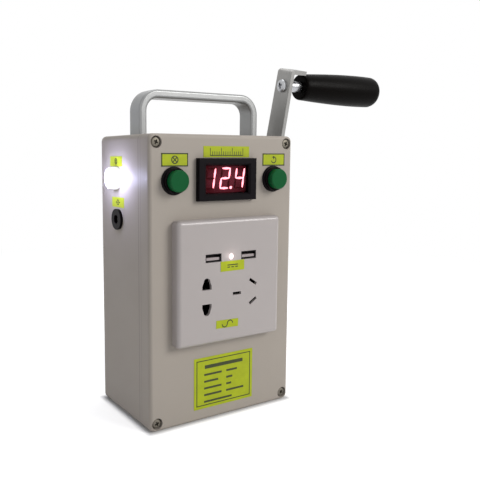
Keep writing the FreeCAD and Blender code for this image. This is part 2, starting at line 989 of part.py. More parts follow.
def make_socket_frame():
    frame = Piece("socket_frame")
    side = dim.plate_side - 2 * (dim.plate_wall + dim.frame_gap)
    frame.pad(
        "XZ",
        front - dim.frame_flange,
        dim.frame_flange,
        rectangle(0, outlet_level, side, side),
    )
    module = rectangle(0, outlet_level, dim.module_width, dim.module_height)
    frame.pad("XZ", deck_front, front - dim.frame_flange - deck_front, module)
    frame.pad("XZ", front, dim.module_depth, module)
    frame.pocket(
        "XZ",
        front - dim.frame_flange,
        dim.frame_flange,
        *[circle(0, z, dim.outlet_screw_radius + dim.fit_gap) for z in outlet_screw_heights],
    )
    frame.pocket("XZ", deck_front, dim.channel_depth, *pin_holes(dim.fit_gap))
    frame.pocket("XZ", deck_front, dim.channel_depth, *usb_windows(dim.press_gap))
    frame.pocket(
        "XZ",
        deck_front,
        dim.pilot_length,
        circle(0, usb_height_centre, dim.pilot_radius + dim.running_gap),
    )


def make_socket_screws():
    screws = Piece("socket_screws", several=True)
    seat = front - dim.frame_flange
    screws.pad(
        "XZ",
        seat - dim.outlet_screw_head_height,
        dim.outlet_screw_head_height,
        *[circle(0, z, dim.outlet_screw_head_radius) for z in outlet_screw_heights],
    )
    screws.pad(
        "XZ",
        seat,
        dim.outlet_screw_length,
        *[circle(0, z, dim.outlet_screw_radius) for z in outlet_screw_heights],
    )


def make_socket_contacts():
    """Five folded brass clips: two leaves that grip a pin, joined by a strip across their back."""
    clips = [(dim.earth_x, pin_height, sized(0))]
    clips += [(dim.line_x, height, -side * dim.line_tilt) for side, height in line_places]
    slot_middle = dim.two_pin_inner + dim.two_pin_slot_height / 2
    clips += [(dim.two_pin_x, pin_height + side * slot_middle, sized(0)) for side in (-1, 1)]
    clip_back = deck_front + dim.channel_depth
    clip_front = clip_back - dim.contact_depth
    reach = (dim.contact_gap + dim.contact_leaf) / 2
    leaves = []
    strips = []
    for x, z, tilt in clips:
        for side in (-1, 1):
            leaf_x, leaf_z = x - side * reach * sine(tilt), z + side * reach * cosine(tilt)
            leaves.append(bar(leaf_x, leaf_z, dim.contact_width, dim.contact_leaf, tilt))
        strips.append(bar(x, z, dim.contact_width, dim.contact_gap + 2 * dim.contact_leaf, tilt))
    contacts = Piece("socket_contacts", several=True)
    contacts.pad("XZ", clip_back - dim.contact_leaf, dim.contact_leaf, *strips)
    contacts.pad("XZ", clip_front, dim.contact_depth - dim.contact_leaf, *leaves)


def make_usb_shells():
    shells = Piece("usb_shells", several=True)
    mouth = plate_front + dim.fit_gap
    shells.pad("XZ", mouth, dim.usb_depth, *usb_windows(sized(0)))
    shells.pocket("XZ", mouth, dim.usb_depth - dim.usb_wall, *usb_windows(-dim.usb_wall))


def make_usb_tongues():
    tongues = Piece("usb_tongues", several=True)
    low = usb_height_centre - dim.usb_height / 2 + dim.usb_wall + dim.usb_tongue_lift
    start = plate_front + dim.fit_gap + dim.usb_tongue_setback
    end = plate_front + dim.fit_gap + dim.usb_depth - dim.usb_wall
    tongues.pad(
        "XZ",
        start,
        end - start,
        *[
            rectangle(
                side * dim.usb_x,
                low + dim.usb_tongue_height / 2,
                dim.usb_tongue_width,
                dim.usb_tongue_height,
            )
            for side in (-1, 1)
        ],
    )


def make_pilot_lens():
    lens = Piece("pilot_lens")
    radius, length, dome = dim.pilot_radius, dim.pilot_length, dim.pilot_radius / 2
    lens.turn([(0, -length), (radius, -length), (radius, 0), (radius - dome, dome), (0, dome)])
    lens.place(0, plate_front - dim.pilot_proud + dome, usb_height_centre, **FACING_FRONT)


# Meter
meter_front = front - dim.meter_flange
pane_front = meter_front + dim.meter_frame
pane_width = dim.meter_body_width - 2 * dim.meter_wall
pane_height = dim.meter_body_height - 2 * dim.meter_wall


def meter_rectangle(width, height):
    return rectangle(0, meter_level, width, height)


def make_meter_bezel():
    bezel = Piece("meter_bezel")
    bezel.pad("XZ", meter_front, dim.meter_flange, meter_rectangle(dim.meter_width, dim.meter_height))
    bezel.fillet(dim.meter_bevel / 2, lying_at("Y", meter_front))
    bezel.pad(
        "XZ",
        front,
        dim.meter_body_depth,
        meter_rectangle(dim.meter_body_width, dim.meter_body_height),
    )
    bezel.pocket(
        "XZ",
        meter_front,
        dim.meter_flange + dim.meter_body_depth,
        meter_rectangle(dim.meter_window_width, dim.meter_window_height),
    )

    def at_window(edge):
        middle = edge.BoundBox.Center
        across, up = abs(middle.x), abs(middle.z - meter_level.number)
        window = (dim.meter_window_width.number / 2, dim.meter_window_height.number / 2)
        return across < window[0] + TOUCH and up < window[1] + TOUCH

    bezel.chamfer(dim.meter_bevel, lying_at("Y", meter_front, at_window))
    bezel.pocket(
        "XZ",
        pane_front,
        dim.meter_flange + dim.meter_body_depth - dim.meter_frame,
        meter_rectangle(pane_width, pane_height),
    )


def make_meter_inside():
    gap = 2 * dim.press_gap
    window = Piece("meter_window")
    window.pad("XZ", pane_front, dim.meter_pane, meter_rectangle(pane_width - gap, pane_height - gap))
    display = Piece("meter_display")
    display_front = pane_front + dim.meter_pane
    display.pad(
        "XZ",
        display_front,
        dim.meter_display_depth,
        meter_rectangle(
            dim.meter_window_width - 2 * dim.meter_display_gap,
            dim.meter_window_height - 2 * dim.meter_display_gap,
        ),
    )
    display.pad(
        "XZ",
        display_front + dim.meter_display_depth,
        dim.meter_board_thickness,
        meter_rectangle(pane_width - gap, pane_height - gap),
    )


# Push buttons
button_places = {"left": -button_x, "right": button_x}


def make_button_bodies():
    """Flanged collars, each with a barrel through the panel, a contact block and a well for its cap."""
    bodies = Piece("button_bodies", several=True)

    def at_buttons(radius):
        return [circle(x, button_level, radius) for x in button_places.values()]

    bodies.pad("XZ", front - dim.button_flange, dim.button_flange, *at_buttons(dim.button_flange_radius))
    bodies.fillet(dim.button_flange / 2, lying_at("Y", front - dim.button_flange))
    bodies.pad(
        "XZ",
        front - dim.button_collar,
        dim.button_collar - dim.button_flange,
        *at_buttons(dim.button_collar_radius),
    )
    bodies.pad("XZ", front, dim.button_barrel, *at_buttons(dim.button_barrel_radius))
    bodies.pad(
        "XZ",
        front + dim.button_barrel,
        dim.button_block - dim.button_barrel,
        *at_buttons(dim.button_block_radius),
    )
    bodies.pocket(
        "XZ",
        front - dim.button_collar,
        dim.button_collar + dim.button_well_floor,
        *at_buttons(dim.button_well_radius),
    )
    bodies.pocket(
        "XZ",
        front + dim.button_well_floor,
        dim.button_stem_end + dim.button_travel + dim.button_stem_gap - dim.button_well_floor,
        *at_buttons(dim.button_stem_radius + dim.running_gap),
    )


def make_button_nuts():
    nuts = Piece("button_nuts", several=True)
    places = [(x, button_level) for x in button_places.values()]
    nuts.pad(
        "XZ",
        inner_front,
        dim.button_nut_thickness,
        *[hexagon(x, z, dim.button_nut_flats) for x, z in places],
        *[circle(x, z, dim.button_barrel_radius + dim.press_gap) for x, z in places],
    )


def make_button_caps():
    radius, edge = dim.button_well_radius - dim.fit_gap, dim.button_cap_edge
    for side, x in button_places.items():
        cap = Piece(f"button_{side}_cap")
        cap.turn(
            [
                (0, -dim.button_stem_end),
                (dim.button_stem_radius, -dim.button_stem_end),
                (dim.button_stem_radius, dim.button_cap_back),
                (radius, dim.button_cap_back),
                (radius, dim.button_cap_front - edge),
                (radius - edge, dim.button_cap_front),
                (0, dim.button_cap_front),
            ]
        )
        cap.place(x, front, button_level, **FACING_FRONT)


def coil_path(radius, pitch, length):
    """A helix up the Z axis as pairs of arcs, each pair a quarter turn, that join without a kink."""
    quarters = round(4 * length / pitch)
    rise = length / quarters

    def place_and_heading(quarter):
        around = math.radians(90 * quarter)
        heading = FreeCAD.Vector(-math.sin(around), math.cos(around), 2 * rise / (math.pi * radius))
        place = FreeCAD.Vector(radius * math.cos(around), radius * math.sin(around), rise * quarter)
        return place, heading.normalize()

    arcs = []
    for quarter in range(quarters):
        start, leaving = place_and_heading(quarter)
        end, arriving = place_and_heading(quarter + 1)
        chord = end - start
        turning = leaving + arriving
        square = turning.dot(turning) - 4
        across = chord.dot(turning)
        reach = (across - math.sqrt(across**2 - square * chord.dot(chord))) / square
        first, second = start + leaving * reach, end - arriving * reach
        joint = (first + second) / 2
        for begin, corner, finish in ((start, first, joint), (joint, second, end)):
            centre = (begin + finish) / 2
            half = (finish - begin).Length / 2
            bulge = half * math.tan(math.atan2((corner - centre).Length, half) / 2)
            top = centre + (corner - centre).normalize() * bulge
            arcs.append(Part.Arc(begin, top, finish).toShape())
    return Part.Wire(arcs)


def make_button_springs():
    """A coil round each cap's stem, from the well's floor to the cap's back."""
    wire = SIZES["spring_wire_radius"]
    low = -SIZES["button_well_floor"] + wire + SIZES["press_gap"]
    high = SIZES["button_cap_back"] - wire - SIZES["press_gap"]
    coil = SIZES["spring_radius"]
    path = coil_path(coil, SIZES["spring_pitch"], high - low)
    section = Part.Circle(FreeCAD.Vector(coil, 0, 0), path.Edges[0].tangentAt(0), wire)
    coiled = path.makePipeShell([Part.Wire([section.toShape()])], True)
    for side, x in button_places.items():
        spring = doc.addObject("Part::Feature", f"button_{side}_spring")
        spring.Label = f"button_{side}_spring"
        spring.Shape = coiled
        spring.Placement = FreeCAD.Placement(
            FreeCAD.Vector(x.number, front.number - low, button_level.number),
            FreeCAD.Rotation(FreeCAD.Vector(1, 0, 0), 90),
        )
        Piece.made.append(spring)


# Side lamp and charge jack, in the left wall
def make_lamp():
    bezel = Piece("lamp_bezel")
    seat = dim.lamp_lens_seat
    bezel.turn(
        [
            (dim.lamp_barrel_radius, -dim.lamp_barrel),
            (dim.lamp_barrel_radius, 0),
            (dim.lamp_flange_radius, 0),
            (dim.lamp_flange_radius, dim.lamp_flange),
            (dim.lamp_hood_radius, dim.lamp_hood),
            (dim.lamp_lens_radius + dim.running_gap, dim.lamp_hood),
            (dim.lamp_lens_radius + dim.running_gap, seat - dim.lamp_lens_thickness),
            (dim.lamp_bore_radius, seat - dim.lamp_lens_thickness),
            (dim.lamp_bore_radius, dim.lamp_floor - dim.lamp_barrel),
            (0, dim.lamp_floor - dim.lamp_barrel),
            (0, -dim.lamp_barrel),
        ]
    )
    bezel.place(-half_width, dim.lamp_y, lamp_level, **FACING_LEFT)

    rim = dim.lamp_bore_radius - dim.running_gap
    throat = dim.lamp_led_radius + dim.fit_gap
    low = dim.lamp_floor - dim.lamp_barrel + dim.lamp_led_base
    top = seat - dim.lamp_lens_thickness
    reflector = Piece("lamp_reflector")
    reflector.turn([(throat, low), (rim, low), (rim, top), (rim - dim.lamp_reflector_rim, top)])
    reflector.place(-half_width, dim.lamp_y, lamp_level, **FACING_LEFT)

    lens = Piece("lamp_lens")
    lens.turn(
        [
            (0, seat - dim.lamp_lens_thickness),
            (dim.lamp_lens_radius, seat - dim.lamp_lens_thickness),
            (dim.lamp_lens_radius, seat),
            (0, seat),
        ]
    )
    lens.place(-half_width, dim.lamp_y, lamp_level, **FACING_LEFT)

    led = Piece("lamp_led")
    floor = dim.lamp_floor - dim.lamp_barrel
    shoulder = floor + dim.lamp_led_base
    led.turn(
        [
            (0, floor),
            (dim.lamp_led_base_radius, floor),
            (dim.lamp_led_base_radius, shoulder),
            (dim.lamp_led_radius, shoulder),
            (dim.lamp_led_radius, shoulder + dim.lamp_led_radius / 2),
            (0, shoulder + dim.lamp_led_radius),
        ]
    )
    led.place(-half_width, dim.lamp_y, lamp_level, **FACING_LEFT)

    nut = Piece("lamp_nut")
    nut.pad(
        "YZ",
        -inner_side,
        dim.lamp_nut_thickness,
        circle(dim.lamp_y, lamp_level, dim.lamp_nut_radius),
        circle(dim.lamp_y, lamp_level, dim.lamp_barrel_radius + dim.press_gap),
    )


def make_charge_jack():
    body = Piece("charge_jack_body")
    mouth = dim.jack_flange
    floor = mouth - dim.jack_bore_depth
    body.turn(
        [
            (0, -dim.jack_barrel),
            (dim.jack_barrel_radius, -dim.jack_barrel),
            (dim.jack_barrel_radius, 0),
            (dim.jack_flange_radius, 0),
            (dim.jack_flange_radius, mouth),
            (dim.jack_bore_radius, mouth),
            (dim.jack_bore_radius, floor),
            (0, floor),
        ]
    )
    body.place(-half_width, dim.jack_y, jack_level, **FACING_LEFT)

    pin = Piece("charge_jack_pin")
    tip = mouth - dim.jack_pin_setback
    pin.turn([(0, floor), (dim.jack_pin_radius, floor), (dim.jack_pin_radius, tip), (0, tip)])
    pin.place(-half_width, dim.jack_y, jack_level, **FACING_LEFT)

    nut = Piece("charge_jack_nut")
    nut.pad(
        "YZ",
        -inner_side,
        dim.jack_nut_thickness,
        circle(dim.jack_y, jack_level, dim.jack_nut_radius),
        circle(dim.jack_y, jack_level, dim.jack_barrel_radius + dim.press_gap),
    )


# Stickers
def make_labels():
    labels = Piece("panel_labels", several=True)
    button_label_height = button_level + dim.button_label_rise
    labels.pad(
        "XZ",
        front - dim.label_thickness,
        dim.label_thickness,
        rectangle(0, dim.rating_label_level, dim.rating_label_width, dim.rating_label_height),
        rectangle(
            dim.label_shift,
            meter_level + dim.meter_label_rise,
            dim.meter_label_width,
            dim.meter_label_height,
        ),
        *[
            rectangle(
                x + dim.label_shift,
                button_label_height,
                dim.button_label_width,
                dim.button_label_height,
            )
            for x in button_places.values()
        ],
    )
    labels.pad(
        "XZ",
        plate_front - dim.label_thickness,
        dim.label_thickness,
        rectangle(
            dim.label_shift,
            outlet_level + dim.outlet_label_rise,
            dim.outlet_label_width,
            dim.outlet_label_height,
        ),
        bar(
            dim.mains_label_x,
            outlet_level - dim.mains_label_drop,
            dim.mains_label_width,
            dim.mains_label_height,
            dim.mains_label_tilt,
        ),
    )
    labels.pad(
        "YZ",
        -half_width - dim.label_thickness,
        dim.label_thickness,
        rectangle(
            dim.lamp_y,
            lamp_level + dim.lamp_label_rise,
            dim.side_label_width,
            dim.side_label_height,
        ),
        rectangle(
            dim.jack_y,
            jack_level + dim.jack_label_rise,
            dim.side_label_width,
            dim.side_label_height,
        ),
    )


# Crank: bush, shaft, arm and grip on the right side
bush_face = half_width + dim.bush_flange
arm_face = half_width + dim.arm_standoff
arm_outer = arm_face + dim.arm_thickness
plate_outer_face = inner_side - dim.gear_plate_thickness
wheel_start = plate_outer_face - dim.gear_plate_gap - dim.gear_width
idler_start = wheel_start - dim.gear_spacing - dim.gear_width
inner_plate_face = idler_start - dim.gear_plate_gap
inner_plate_start = inner_plate_face - dim.gear_plate_thickness
grip_y = -sine(dim.crank_lean) * dim.crank_radius
grip_height = crank_level + cosine(dim.crank_lean) * dim.crank_radius

# The train's axes lie on one line, which leans back as far as the generator has room in the box
stage_reach = dim.gear_module * (dim.wheel_teeth + dim.pinion_teeth) / 2
second_reach = dim.gear_module * (dim.idler_teeth + dim.pinion_teeth) / 2
generator_y = inner_back - dim.generator_radius - dim.generator_back_gap
train_angle = -angle_with_cosine(generator_y / (stage_reach + second_reach))
idler_y = stage_reach * cosine(train_angle)
idler_height = crank_level + stage_reach * sine(train_angle)
generator_height = idler_height + second_reach * sine(train_angle)
grip_y = -sine(dim.crank_lean) * dim.crank_radius
grip_height = crank_level + cosine(dim.crank_lean) * dim.crank_radius


def clear_of_teeth(y, height, teeth, angle):
    """A pillar's place, off the tips of the wheel whose axis is at (y, height)."""
    reach = dim.gear_module * teeth / 2 + dim.gear_addendum + dim.pillar_radius + dim.pillar_clearance
    return y + reach * cosine(angle), height + reach * sine(angle)


front_pillar = clear_of_teeth(idler_y, idler_height, dim.idler_teeth, dim.front_pillar_angle)
back_pillar = clear_of_teeth(idler_y, idler_height, dim.idler_teeth, dim.back_pillar_angle)
top_pillar = clear_of_teeth(sized(0), crank_level, dim.wheel_teeth, dim.top_pillar_angle)
pillars = [front_pillar, back_pillar, top_pillar]


def make_crank_bush():
    bush = Piece("crank_bush")
    inner, outer = dim.crank_shaft_radius + dim.running_gap, dim.bush_radius
    bush.turn(
        [
            (inner, -dim.case_wall - dim.gear_plate_thickness),
            (outer, -dim.case_wall - dim.gear_plate_thickness),
            (outer, 0),
            (dim.bush_flange_radius, 0),
            (dim.bush_flange_radius, dim.bush_flange),
            (inner, dim.bush_flange),
        ]
    )
    bush.place(half_width, 0, crank_level, **FACING_RIGHT)


def make_crank_shaft():
    shaft = Piece("crank_shaft")
    radius, end = dim.crank_shaft_radius, dim.crank_end_radius
    collar_start, collar_end = dim.bush_flange + dim.fit_gap, dim.arm_standoff
    shaft.turn(
        [
            (0, inner_plate_start - half_width),
            (radius, inner_plate_start - half_width),
            (radius, collar_start),
            (dim.crank_collar_radius, collar_start),
            (dim.crank_collar_radius, collar_end),
            (end, collar_end),
            (end, collar_end + dim.crank_end_length),
            (0, collar_end + dim.crank_end_length),
        ]
    )
    shaft.place(half_width, 0, crank_level, **FACING_RIGHT)


def make_crank_arm():
    """A flat bar from the shaft to the grip, its end folded outward as a short tab."""
    arm = Piece("crank_arm")
    foot, half_tip = dim.arm_foot_radius, dim.arm_tip_width / 2
    tip = dim.crank_radius + dim.arm_tip_reach
    arm.pad(
        "YZ",
        0,
        dim.arm_thickness,
        loop(
            [
                (foot, 0),
                (half_tip, tip),
                (-half_tip, tip),
                (-foot, 0, foot),
                (0, -foot, foot),
            ]
        ),
        circle(0, 0, dim.crank_end_radius + dim.press_gap),
        circle(0, dim.crank_radius, dim.spindle_radius + dim.press_gap),
    )
    taper = dim.arm_tab_taper
    arm.pad(
        "XY",
        tip - dim.arm_thickness,
        dim.arm_thickness,
        loop(
            [
                (dim.arm_thickness, -half_tip),
                (dim.arm_thickness + dim.arm_tab_length, taper - half_tip),
                (dim.arm_thickness + dim.arm_tab_length, half_tip - taper),
                (dim.arm_thickness, half_tip),
            ]
        ),
    )

    def bend_at(x, z):
        def chosen(edge):
            box = edge.BoundBox
            return abs(box.XMin - sized(x).number) < TOUCH and abs(box.ZMin - z.number) < TOUCH

        return chosen

    arm.fillet(dim.arm_bend_radius, along("Y", bend_at(0, tip)))
    arm.fillet(dim.arm_edge_radius, along("Y", bend_at(dim.arm_thickness, tip - dim.arm_thickness)))
    arm.place(arm_face, 0, crank_level, (1, 0, 0), dim.crank_lean)


def make_crank_nut():
    nut = Piece("crank_nut")
    nut.pad(
        "YZ",
        arm_outer,
        dim.crank_nut_thickness,
        hexagon(0, crank_level, dim.crank_nut_flats),
        circle(0, crank_level, dim.crank_end_radius + dim.press_gap),
    )


grip_start = dim.grip_gap
recess_floor = grip_start + dim.grip_length - dim.grip_recess_depth


def make_grip_spindle():
    """A shouldered screw through the arm, with its cross head on the arm's inner face."""
    spindle = Piece("grip_spindle")
    radius = dim.spindle_radius
    head, crown = dim.spindle_head_height, dim.spindle_head_height / 2
    spindle.turn(
        [
            (0, -dim.arm_thickness - head),
            (dim.spindle_head_radius - crown, -dim.arm_thickness - head),
            (dim.spindle_head_radius, crown - dim.arm_thickness - head),
            (dim.spindle_head_radius, -dim.arm_thickness),
            (radius, -dim.arm_thickness),
            (radius, 0),
            (dim.spindle_shoulder_radius, 0),
            (dim.spindle_shoulder_radius, grip_start - dim.fit_gap),
            (radius, grip_start - dim.fit_gap),
            (radius, recess_floor + dim.spindle_thread),
            (0, recess_floor + dim.spindle_thread),
        ]
    )
    spindle.place(arm_outer, grip_y, grip_height, **FACING_RIGHT)


def make_grip_nut():
    nut = Piece("grip_nut")
    nut.pad(
        "XY",
        recess_floor + dim.fit_gap,
        dim.grip_nut_thickness,
        hexagon(0, 0, dim.grip_nut_flats),
        circle(0, 0, dim.spindle_radius + dim.press_gap),
    )
    nut.place(arm_outer, grip_y, grip_height, **FACING_RIGHT)


def make_grip():
    """A revolving handle that swells towards its outer end."""
    grip = Piece("grip")
    start, end = grip_start, grip_start + dim.grip_length
    bore = dim.spindle_radius + dim.running_gap
    belly = start + dim.grip_belly_at
    inner, outer = dim.grip_inner_radius, dim.grip_outer_radius
    edge, corner = dim.grip_inner_edge, dim.grip_outer_edge
    cap = dim.grip_cap_radius
    swell = swell_radius(dim.grip_belly_at - edge, dim.grip_belly_radius - inner)
    grip.turn(
        [
            (bore, start),
            (inner - edge, start, edge),
            (inner, start + edge, swell),
            (dim.grip_belly_radius, belly),
            (outer, end - corner, corner),
            (outer - corner, end),
            (cap, end),
            (cap, recess_floor),
            (bore, recess_floor),
        ]
    )
    grip.place(arm_outer, grip_y, grip_height, **FACING_RIGHT)


def swell_radius(length, rise):
    """The radius of an arc that leaves level at its far end and falls by a rise over a length."""
    return (length * length + rise * rise) / (2 * rise)


def make_grip_cap():
    cap = Piece("grip_cap")
    end = grip_start + dim.grip_length
    radius = dim.grip_cap_radius - dim.press_gap
    cap.turn([(0, end - dim.grip_cap_depth), (radius, end - dim.grip_cap_depth), (radius, end), (0, end)])
    cap.place(arm_outer, grip_y, grip_height, **FACING_RIGHT)


# Gear train
def tooth_gap(teeth):
    """The space between two teeth of a gear, as an outline that a blank is cut with."""
    pitch = dim.gear_module * teeth / 2
    top = pitch + dim.gear_module * dim.gear_addendum
    root = pitch - dim.gear_module * dim.gear_dedendum
    half_gap = dim.gear_module * math.pi / 4 + dim.gear_backlash / 2
    slope = sine(dim.pressure_angle) / cosine(dim.pressure_angle)
    widen = slope * (top - pitch) + half_gap
    narrow = half_gap - slope * (pitch - root)
    beyond_top = top + dim.gear_module
    return loop(
        [(root, -narrow), (top, -widen), (beyond_top, -widen)]
        + [(beyond_top, widen), (top, widen), (root, narrow)]
    )


def cut_teeth(gear, start, length, teeth):
    gap = gear.pocket("YZ", start, length, tooth_gap(teeth))
    gear.ring_of(gap, "X", teeth)


def gear_radius(teeth):
    return dim.gear_module * (teeth / 2 + dim.gear_addendum)


def make_drive_wheel():
    """The large wheel on the crank's shaft, drawn with a tooth gap along its own first axis."""
    wheel = Piece("drive_wheel")
    teeth = dim.wheel_teeth
    wheel.pad("YZ", 0, dim.gear_width, circle(0, 0, gear_radius(teeth)))
    cut_teeth(wheel, 0, dim.gear_width, teeth)
    wheel.pocket("YZ", 0, dim.gear_width, circle(0, 0, dim.crank_shaft_radius + dim.press_gap))
    web = wheel.pocket(
        "YZ", 0, dim.gear_width, circle(dim.wheel_web_hole_reach, 0, dim.wheel_web_hole_radius)
    )
    wheel.ring_of(web, "X", dim.wheel_web_holes)
    wheel.place(wheel_start, 0, crank_level, (1, 0, 0), train_angle + 180 / teeth)


def make_idler_gear():
    """A cluster: the small pinion meets the drive wheel and the large wheel drives the generator."""
    gear = Piece("idler_gear")
    pinion, wheel = dim.pinion_teeth, dim.idler_teeth
    gear.pad("YZ", wheel_start, dim.gear_width, circle(0, 0, gear_radius(pinion)))
    cut_teeth(gear, wheel_start, dim.gear_width, pinion)
    root = dim.gear_module * (pinion / 2 - dim.gear_dedendum)
    gear.pad("YZ", idler_start + dim.gear_width, dim.gear_spacing, circle(0, 0, root))
    gear.pad("YZ", idler_start, dim.gear_width, circle(0, 0, gear_radius(wheel)))
    cut_teeth(gear, idler_start, dim.gear_width, wheel)
    gear.pocket(
        "YZ",
        idler_start,
        2 * dim.gear_width + dim.gear_spacing,
        circle(0, 0, dim.idler_shaft_radius + dim.running_gap),
    )
    gear.place(0, idler_y, idler_height, (1, 0, 0), train_angle + 180)


def make_idler_shaft():
    shaft = Piece("idler_shaft")
    shaft.pad(
        "YZ",
        inner_plate_start,
        inner_side - inner_plate_start,
        circle(idler_y, idler_height, dim.idler_shaft_radius),
    )


def gear_plate(label, start, generator_hole, crank_hole):
    """A side plate of the gear train, drawn round its pillars, its shafts and the generator."""
    margin = dim.gear_plate_margin
    front_edge, back_edge = front_pillar[0] - margin, back_pillar[0] + margin
    bottom = generator_height - dim.generator_boss_radius - 2 * margin
    top = top_pillar[1] + margin
    upper_front = -dim.bush_radius - margin
    plate = Piece(label)
    plate.pad(
        "YZ",
        start,
        dim.gear_plate_thickness,
        loop(
            [
                (front_edge, bottom),
                (back_edge, bottom),
                (back_edge, top),
                (top_pillar[0] - margin, top),
                (upper_front, crank_level + dim.bush_radius + margin),
                (upper_front, front_pillar[1] + 2 * margin),
                (front_edge, front_pillar[1] + margin),
            ]
        ),
        circle(0, crank_level, crank_hole),
        circle(idler_y, idler_height, dim.idler_shaft_radius + dim.press_gap),
        circle(generator_y, generator_height, generator_hole),
        *[circle(y, z, dim.gearbox_screw_radius + dim.press_gap) for y, z in pillars],
    )


def make_gear_plates():
    gear_plate(
        "gear_plate_outer",
        plate_outer_face,
        dim.generator_shaft_radius + dim.running_gap,
        dim.bush_radius + dim.press_gap,
    )
    gear_plate(
        "gear_plate_inner",
        inner_plate_start,
        dim.generator_boss_radius + dim.press_gap,
        dim.crank_shaft_radius + dim.running_gap,
    )


def make_plate_pillars():
    posts = Piece("plate_pillars", several=True)
    posts.pad(
        "YZ",
        inner_plate_face,
        plate_outer_face - inner_plate_face,
        *[circle(y, z, dim.pillar_radius) for y, z in pillars],
        *[circle(y, z, dim.gearbox_screw_radius + dim.press_gap) for y, z in pillars],
    )


def make_gearbox_screws():
    screws = Piece("gearbox_screws", several=True)
    screws.pad(
        "YZ",
        half_width,
        dim.gearbox_screw_head_height,
        *[circle(y, z, dim.gearbox_screw_head_radius) for y, z in pillars],
    )
    screws.pad(
        "YZ",
        inner_plate_start,
        half_width - inner_plate_start,
        *[circle(y, z, dim.gearbox_screw_radius) for y, z in pillars],
    )


# Generator, in its own axis along X with the gear train on its right
can_end = inner_plate_start
can_start = can_end - dim.generator_length
can_bore = dim.generator_radius - dim.generator_wall
magnet_bore = can_bore - dim.magnet_thickness
shaft_end = plate_outer_face


def at_generator(piece):
    piece.place(can_end, generator_y, generator_height, **FACING_RIGHT)


def make_generator():
    bearing = dim.generator_shaft_radius + dim.running_gap
    length, wall = dim.generator_length, dim.generator_wall
    boss = dim.gear_plate_thickness
    can = Piece("generator_can")
    can.turn(
        [
            (can_bore, -length + dim.generator_cap_thickness),
            (dim.generator_radius, -length + dim.generator_cap_thickness),
            (dim.generator_radius, 0),
            (dim.generator_boss_radius, 0),
            (dim.generator_boss_radius, boss),
            (bearing, boss),
            (bearing, -wall - dim.generator_boss),
            (dim.generator_boss_radius, -wall - dim.generator_boss),
            (dim.generator_boss_radius, -wall),
            (can_bore, -wall),
        ]
    )
    at_generator(can)

    end_cap = Piece("generator_end_cap")
    inside = can_bore - dim.press_gap
    cap_top = -length + dim.generator_cap_thickness
    end_cap.turn(
        [
            (0, -length - dim.generator_boss),
            (dim.generator_boss_radius, -length - dim.generator_boss),
            (dim.generator_boss_radius, -length),
            (dim.generator_radius, -length),
            (dim.generator_radius, cap_top),
            (inside, cap_top),
            (inside, cap_top + dim.generator_wall),
            (bearing, cap_top + dim.generator_wall),
            (bearing, -length),
            (0, -length),
        ]
    )
    at_generator(end_cap)

    magnets = Piece("generator_magnets", several=True)
    magnet_start = -wall - dim.generator_boss - dim.magnet_length
    outer, inner = can_bore - dim.press_gap, magnet_bore
    magnets.pad("XY", magnet_start, dim.magnet_length, circle(0, 0, outer), circle(0, 0, inner))
    magnets.pocket(
        "XY",
        magnet_start,
        dim.magnet_length,
        rectangle(0, 0, dim.magnet_split, 2 * dim.generator_radius),
    )
    at_generator(magnets)

    rotor = Piece("generator_rotor")
    rotor_radius = magnet_bore - dim.rotor_gap
    rotor_start = magnet_start + (dim.magnet_length - dim.rotor_length) / 2
    rotor.pad(
        "XY",
        rotor_start,
        dim.rotor_length,
        circle(0, 0, rotor_radius),
        circle(0, 0, dim.generator_shaft_radius + dim.press_gap),
    )
    slot_floor = rotor_radius - dim.rotor_slot_depth
    slot_reach = magnet_bore - slot_floor
    slot = rotor.pocket(
        "XY",
        rotor_start,
        dim.rotor_length,
        rectangle(slot_floor + slot_reach / 2, 0, slot_reach, dim.rotor_slot_width),
    )
    rotor.ring_of(slot, "Z", dim.rotor_slots)
    at_generator(rotor)

    shaft = Piece("generator_shaft")
    radius = dim.generator_shaft_radius
    shaft.turn(
        [
            (0, -length + dim.fit_gap),
            (radius, -length + dim.fit_gap),
            (radius, inner_side - can_end - dim.fit_gap),
            (0, inner_side - can_end - dim.fit_gap),
        ]
    )
    at_generator(shaft)

    pinion = Piece("generator_pinion")
    pinion.pad("YZ", idler_start, dim.gear_width, circle(0, 0, gear_radius(dim.pinion_teeth)))
    cut_teeth(pinion, idler_start, dim.gear_width, dim.pinion_teeth)
    pinion.pocket("YZ", idler_start, dim.gear_width, circle(0, 0, radius + dim.press_gap))
    pinion.place(0, generator_y, generator_height, (1, 0, 0), train_angle + 180)


# Battery pack: two rows of three cells between two holders, standing on the box's floor
holder_edge = dim.cell_radius + dim.holder_margin
holder_width = 2 * (dim.cell_pitch + holder_edge)
holder_depth = dim.cell_pitch + 2 * holder_edge
holder_left = dim.post_side + dim.holder_post_gap - inner_side
battery_x = holder_left + holder_width / 2
battery_y = inner_back - dim.holder_back_gap - holder_depth / 2
cell_places = [
    (battery_x + column * dim.cell_pitch, battery_y + row * dim.cell_pitch)
    for column in (-1, 0, 1)
    for row in (-0.5, 0.5)
]


def make_battery():
    floor = dim.case_wall
    cell_start = floor + dim.holder_thickness - dim.holder_pocket
    cells = Piece("battery_cells", several=True)
    cells.pad(
        "XY",
        cell_start,
        dim.cell_length,
        *[circle(x, y, dim.cell_radius) for x, y in cell_places],
    )
    holders = Piece("battery_holders", several=True)
    outline = rounded_rectangle(battery_x, battery_y, holder_width, holder_depth, dim.holder_corner_radius)
    upper = cell_start + dim.cell_length - dim.holder_pocket
    holders.pad("XY", floor, dim.holder_thickness, outline)
    holders.pad("XY", upper, dim.holder_thickness, outline)
    pockets = [circle(x, y, dim.cell_radius + dim.press_gap) for x, y in cell_places]
    holders.pocket("XY", cell_start, dim.cell_length, *pockets)


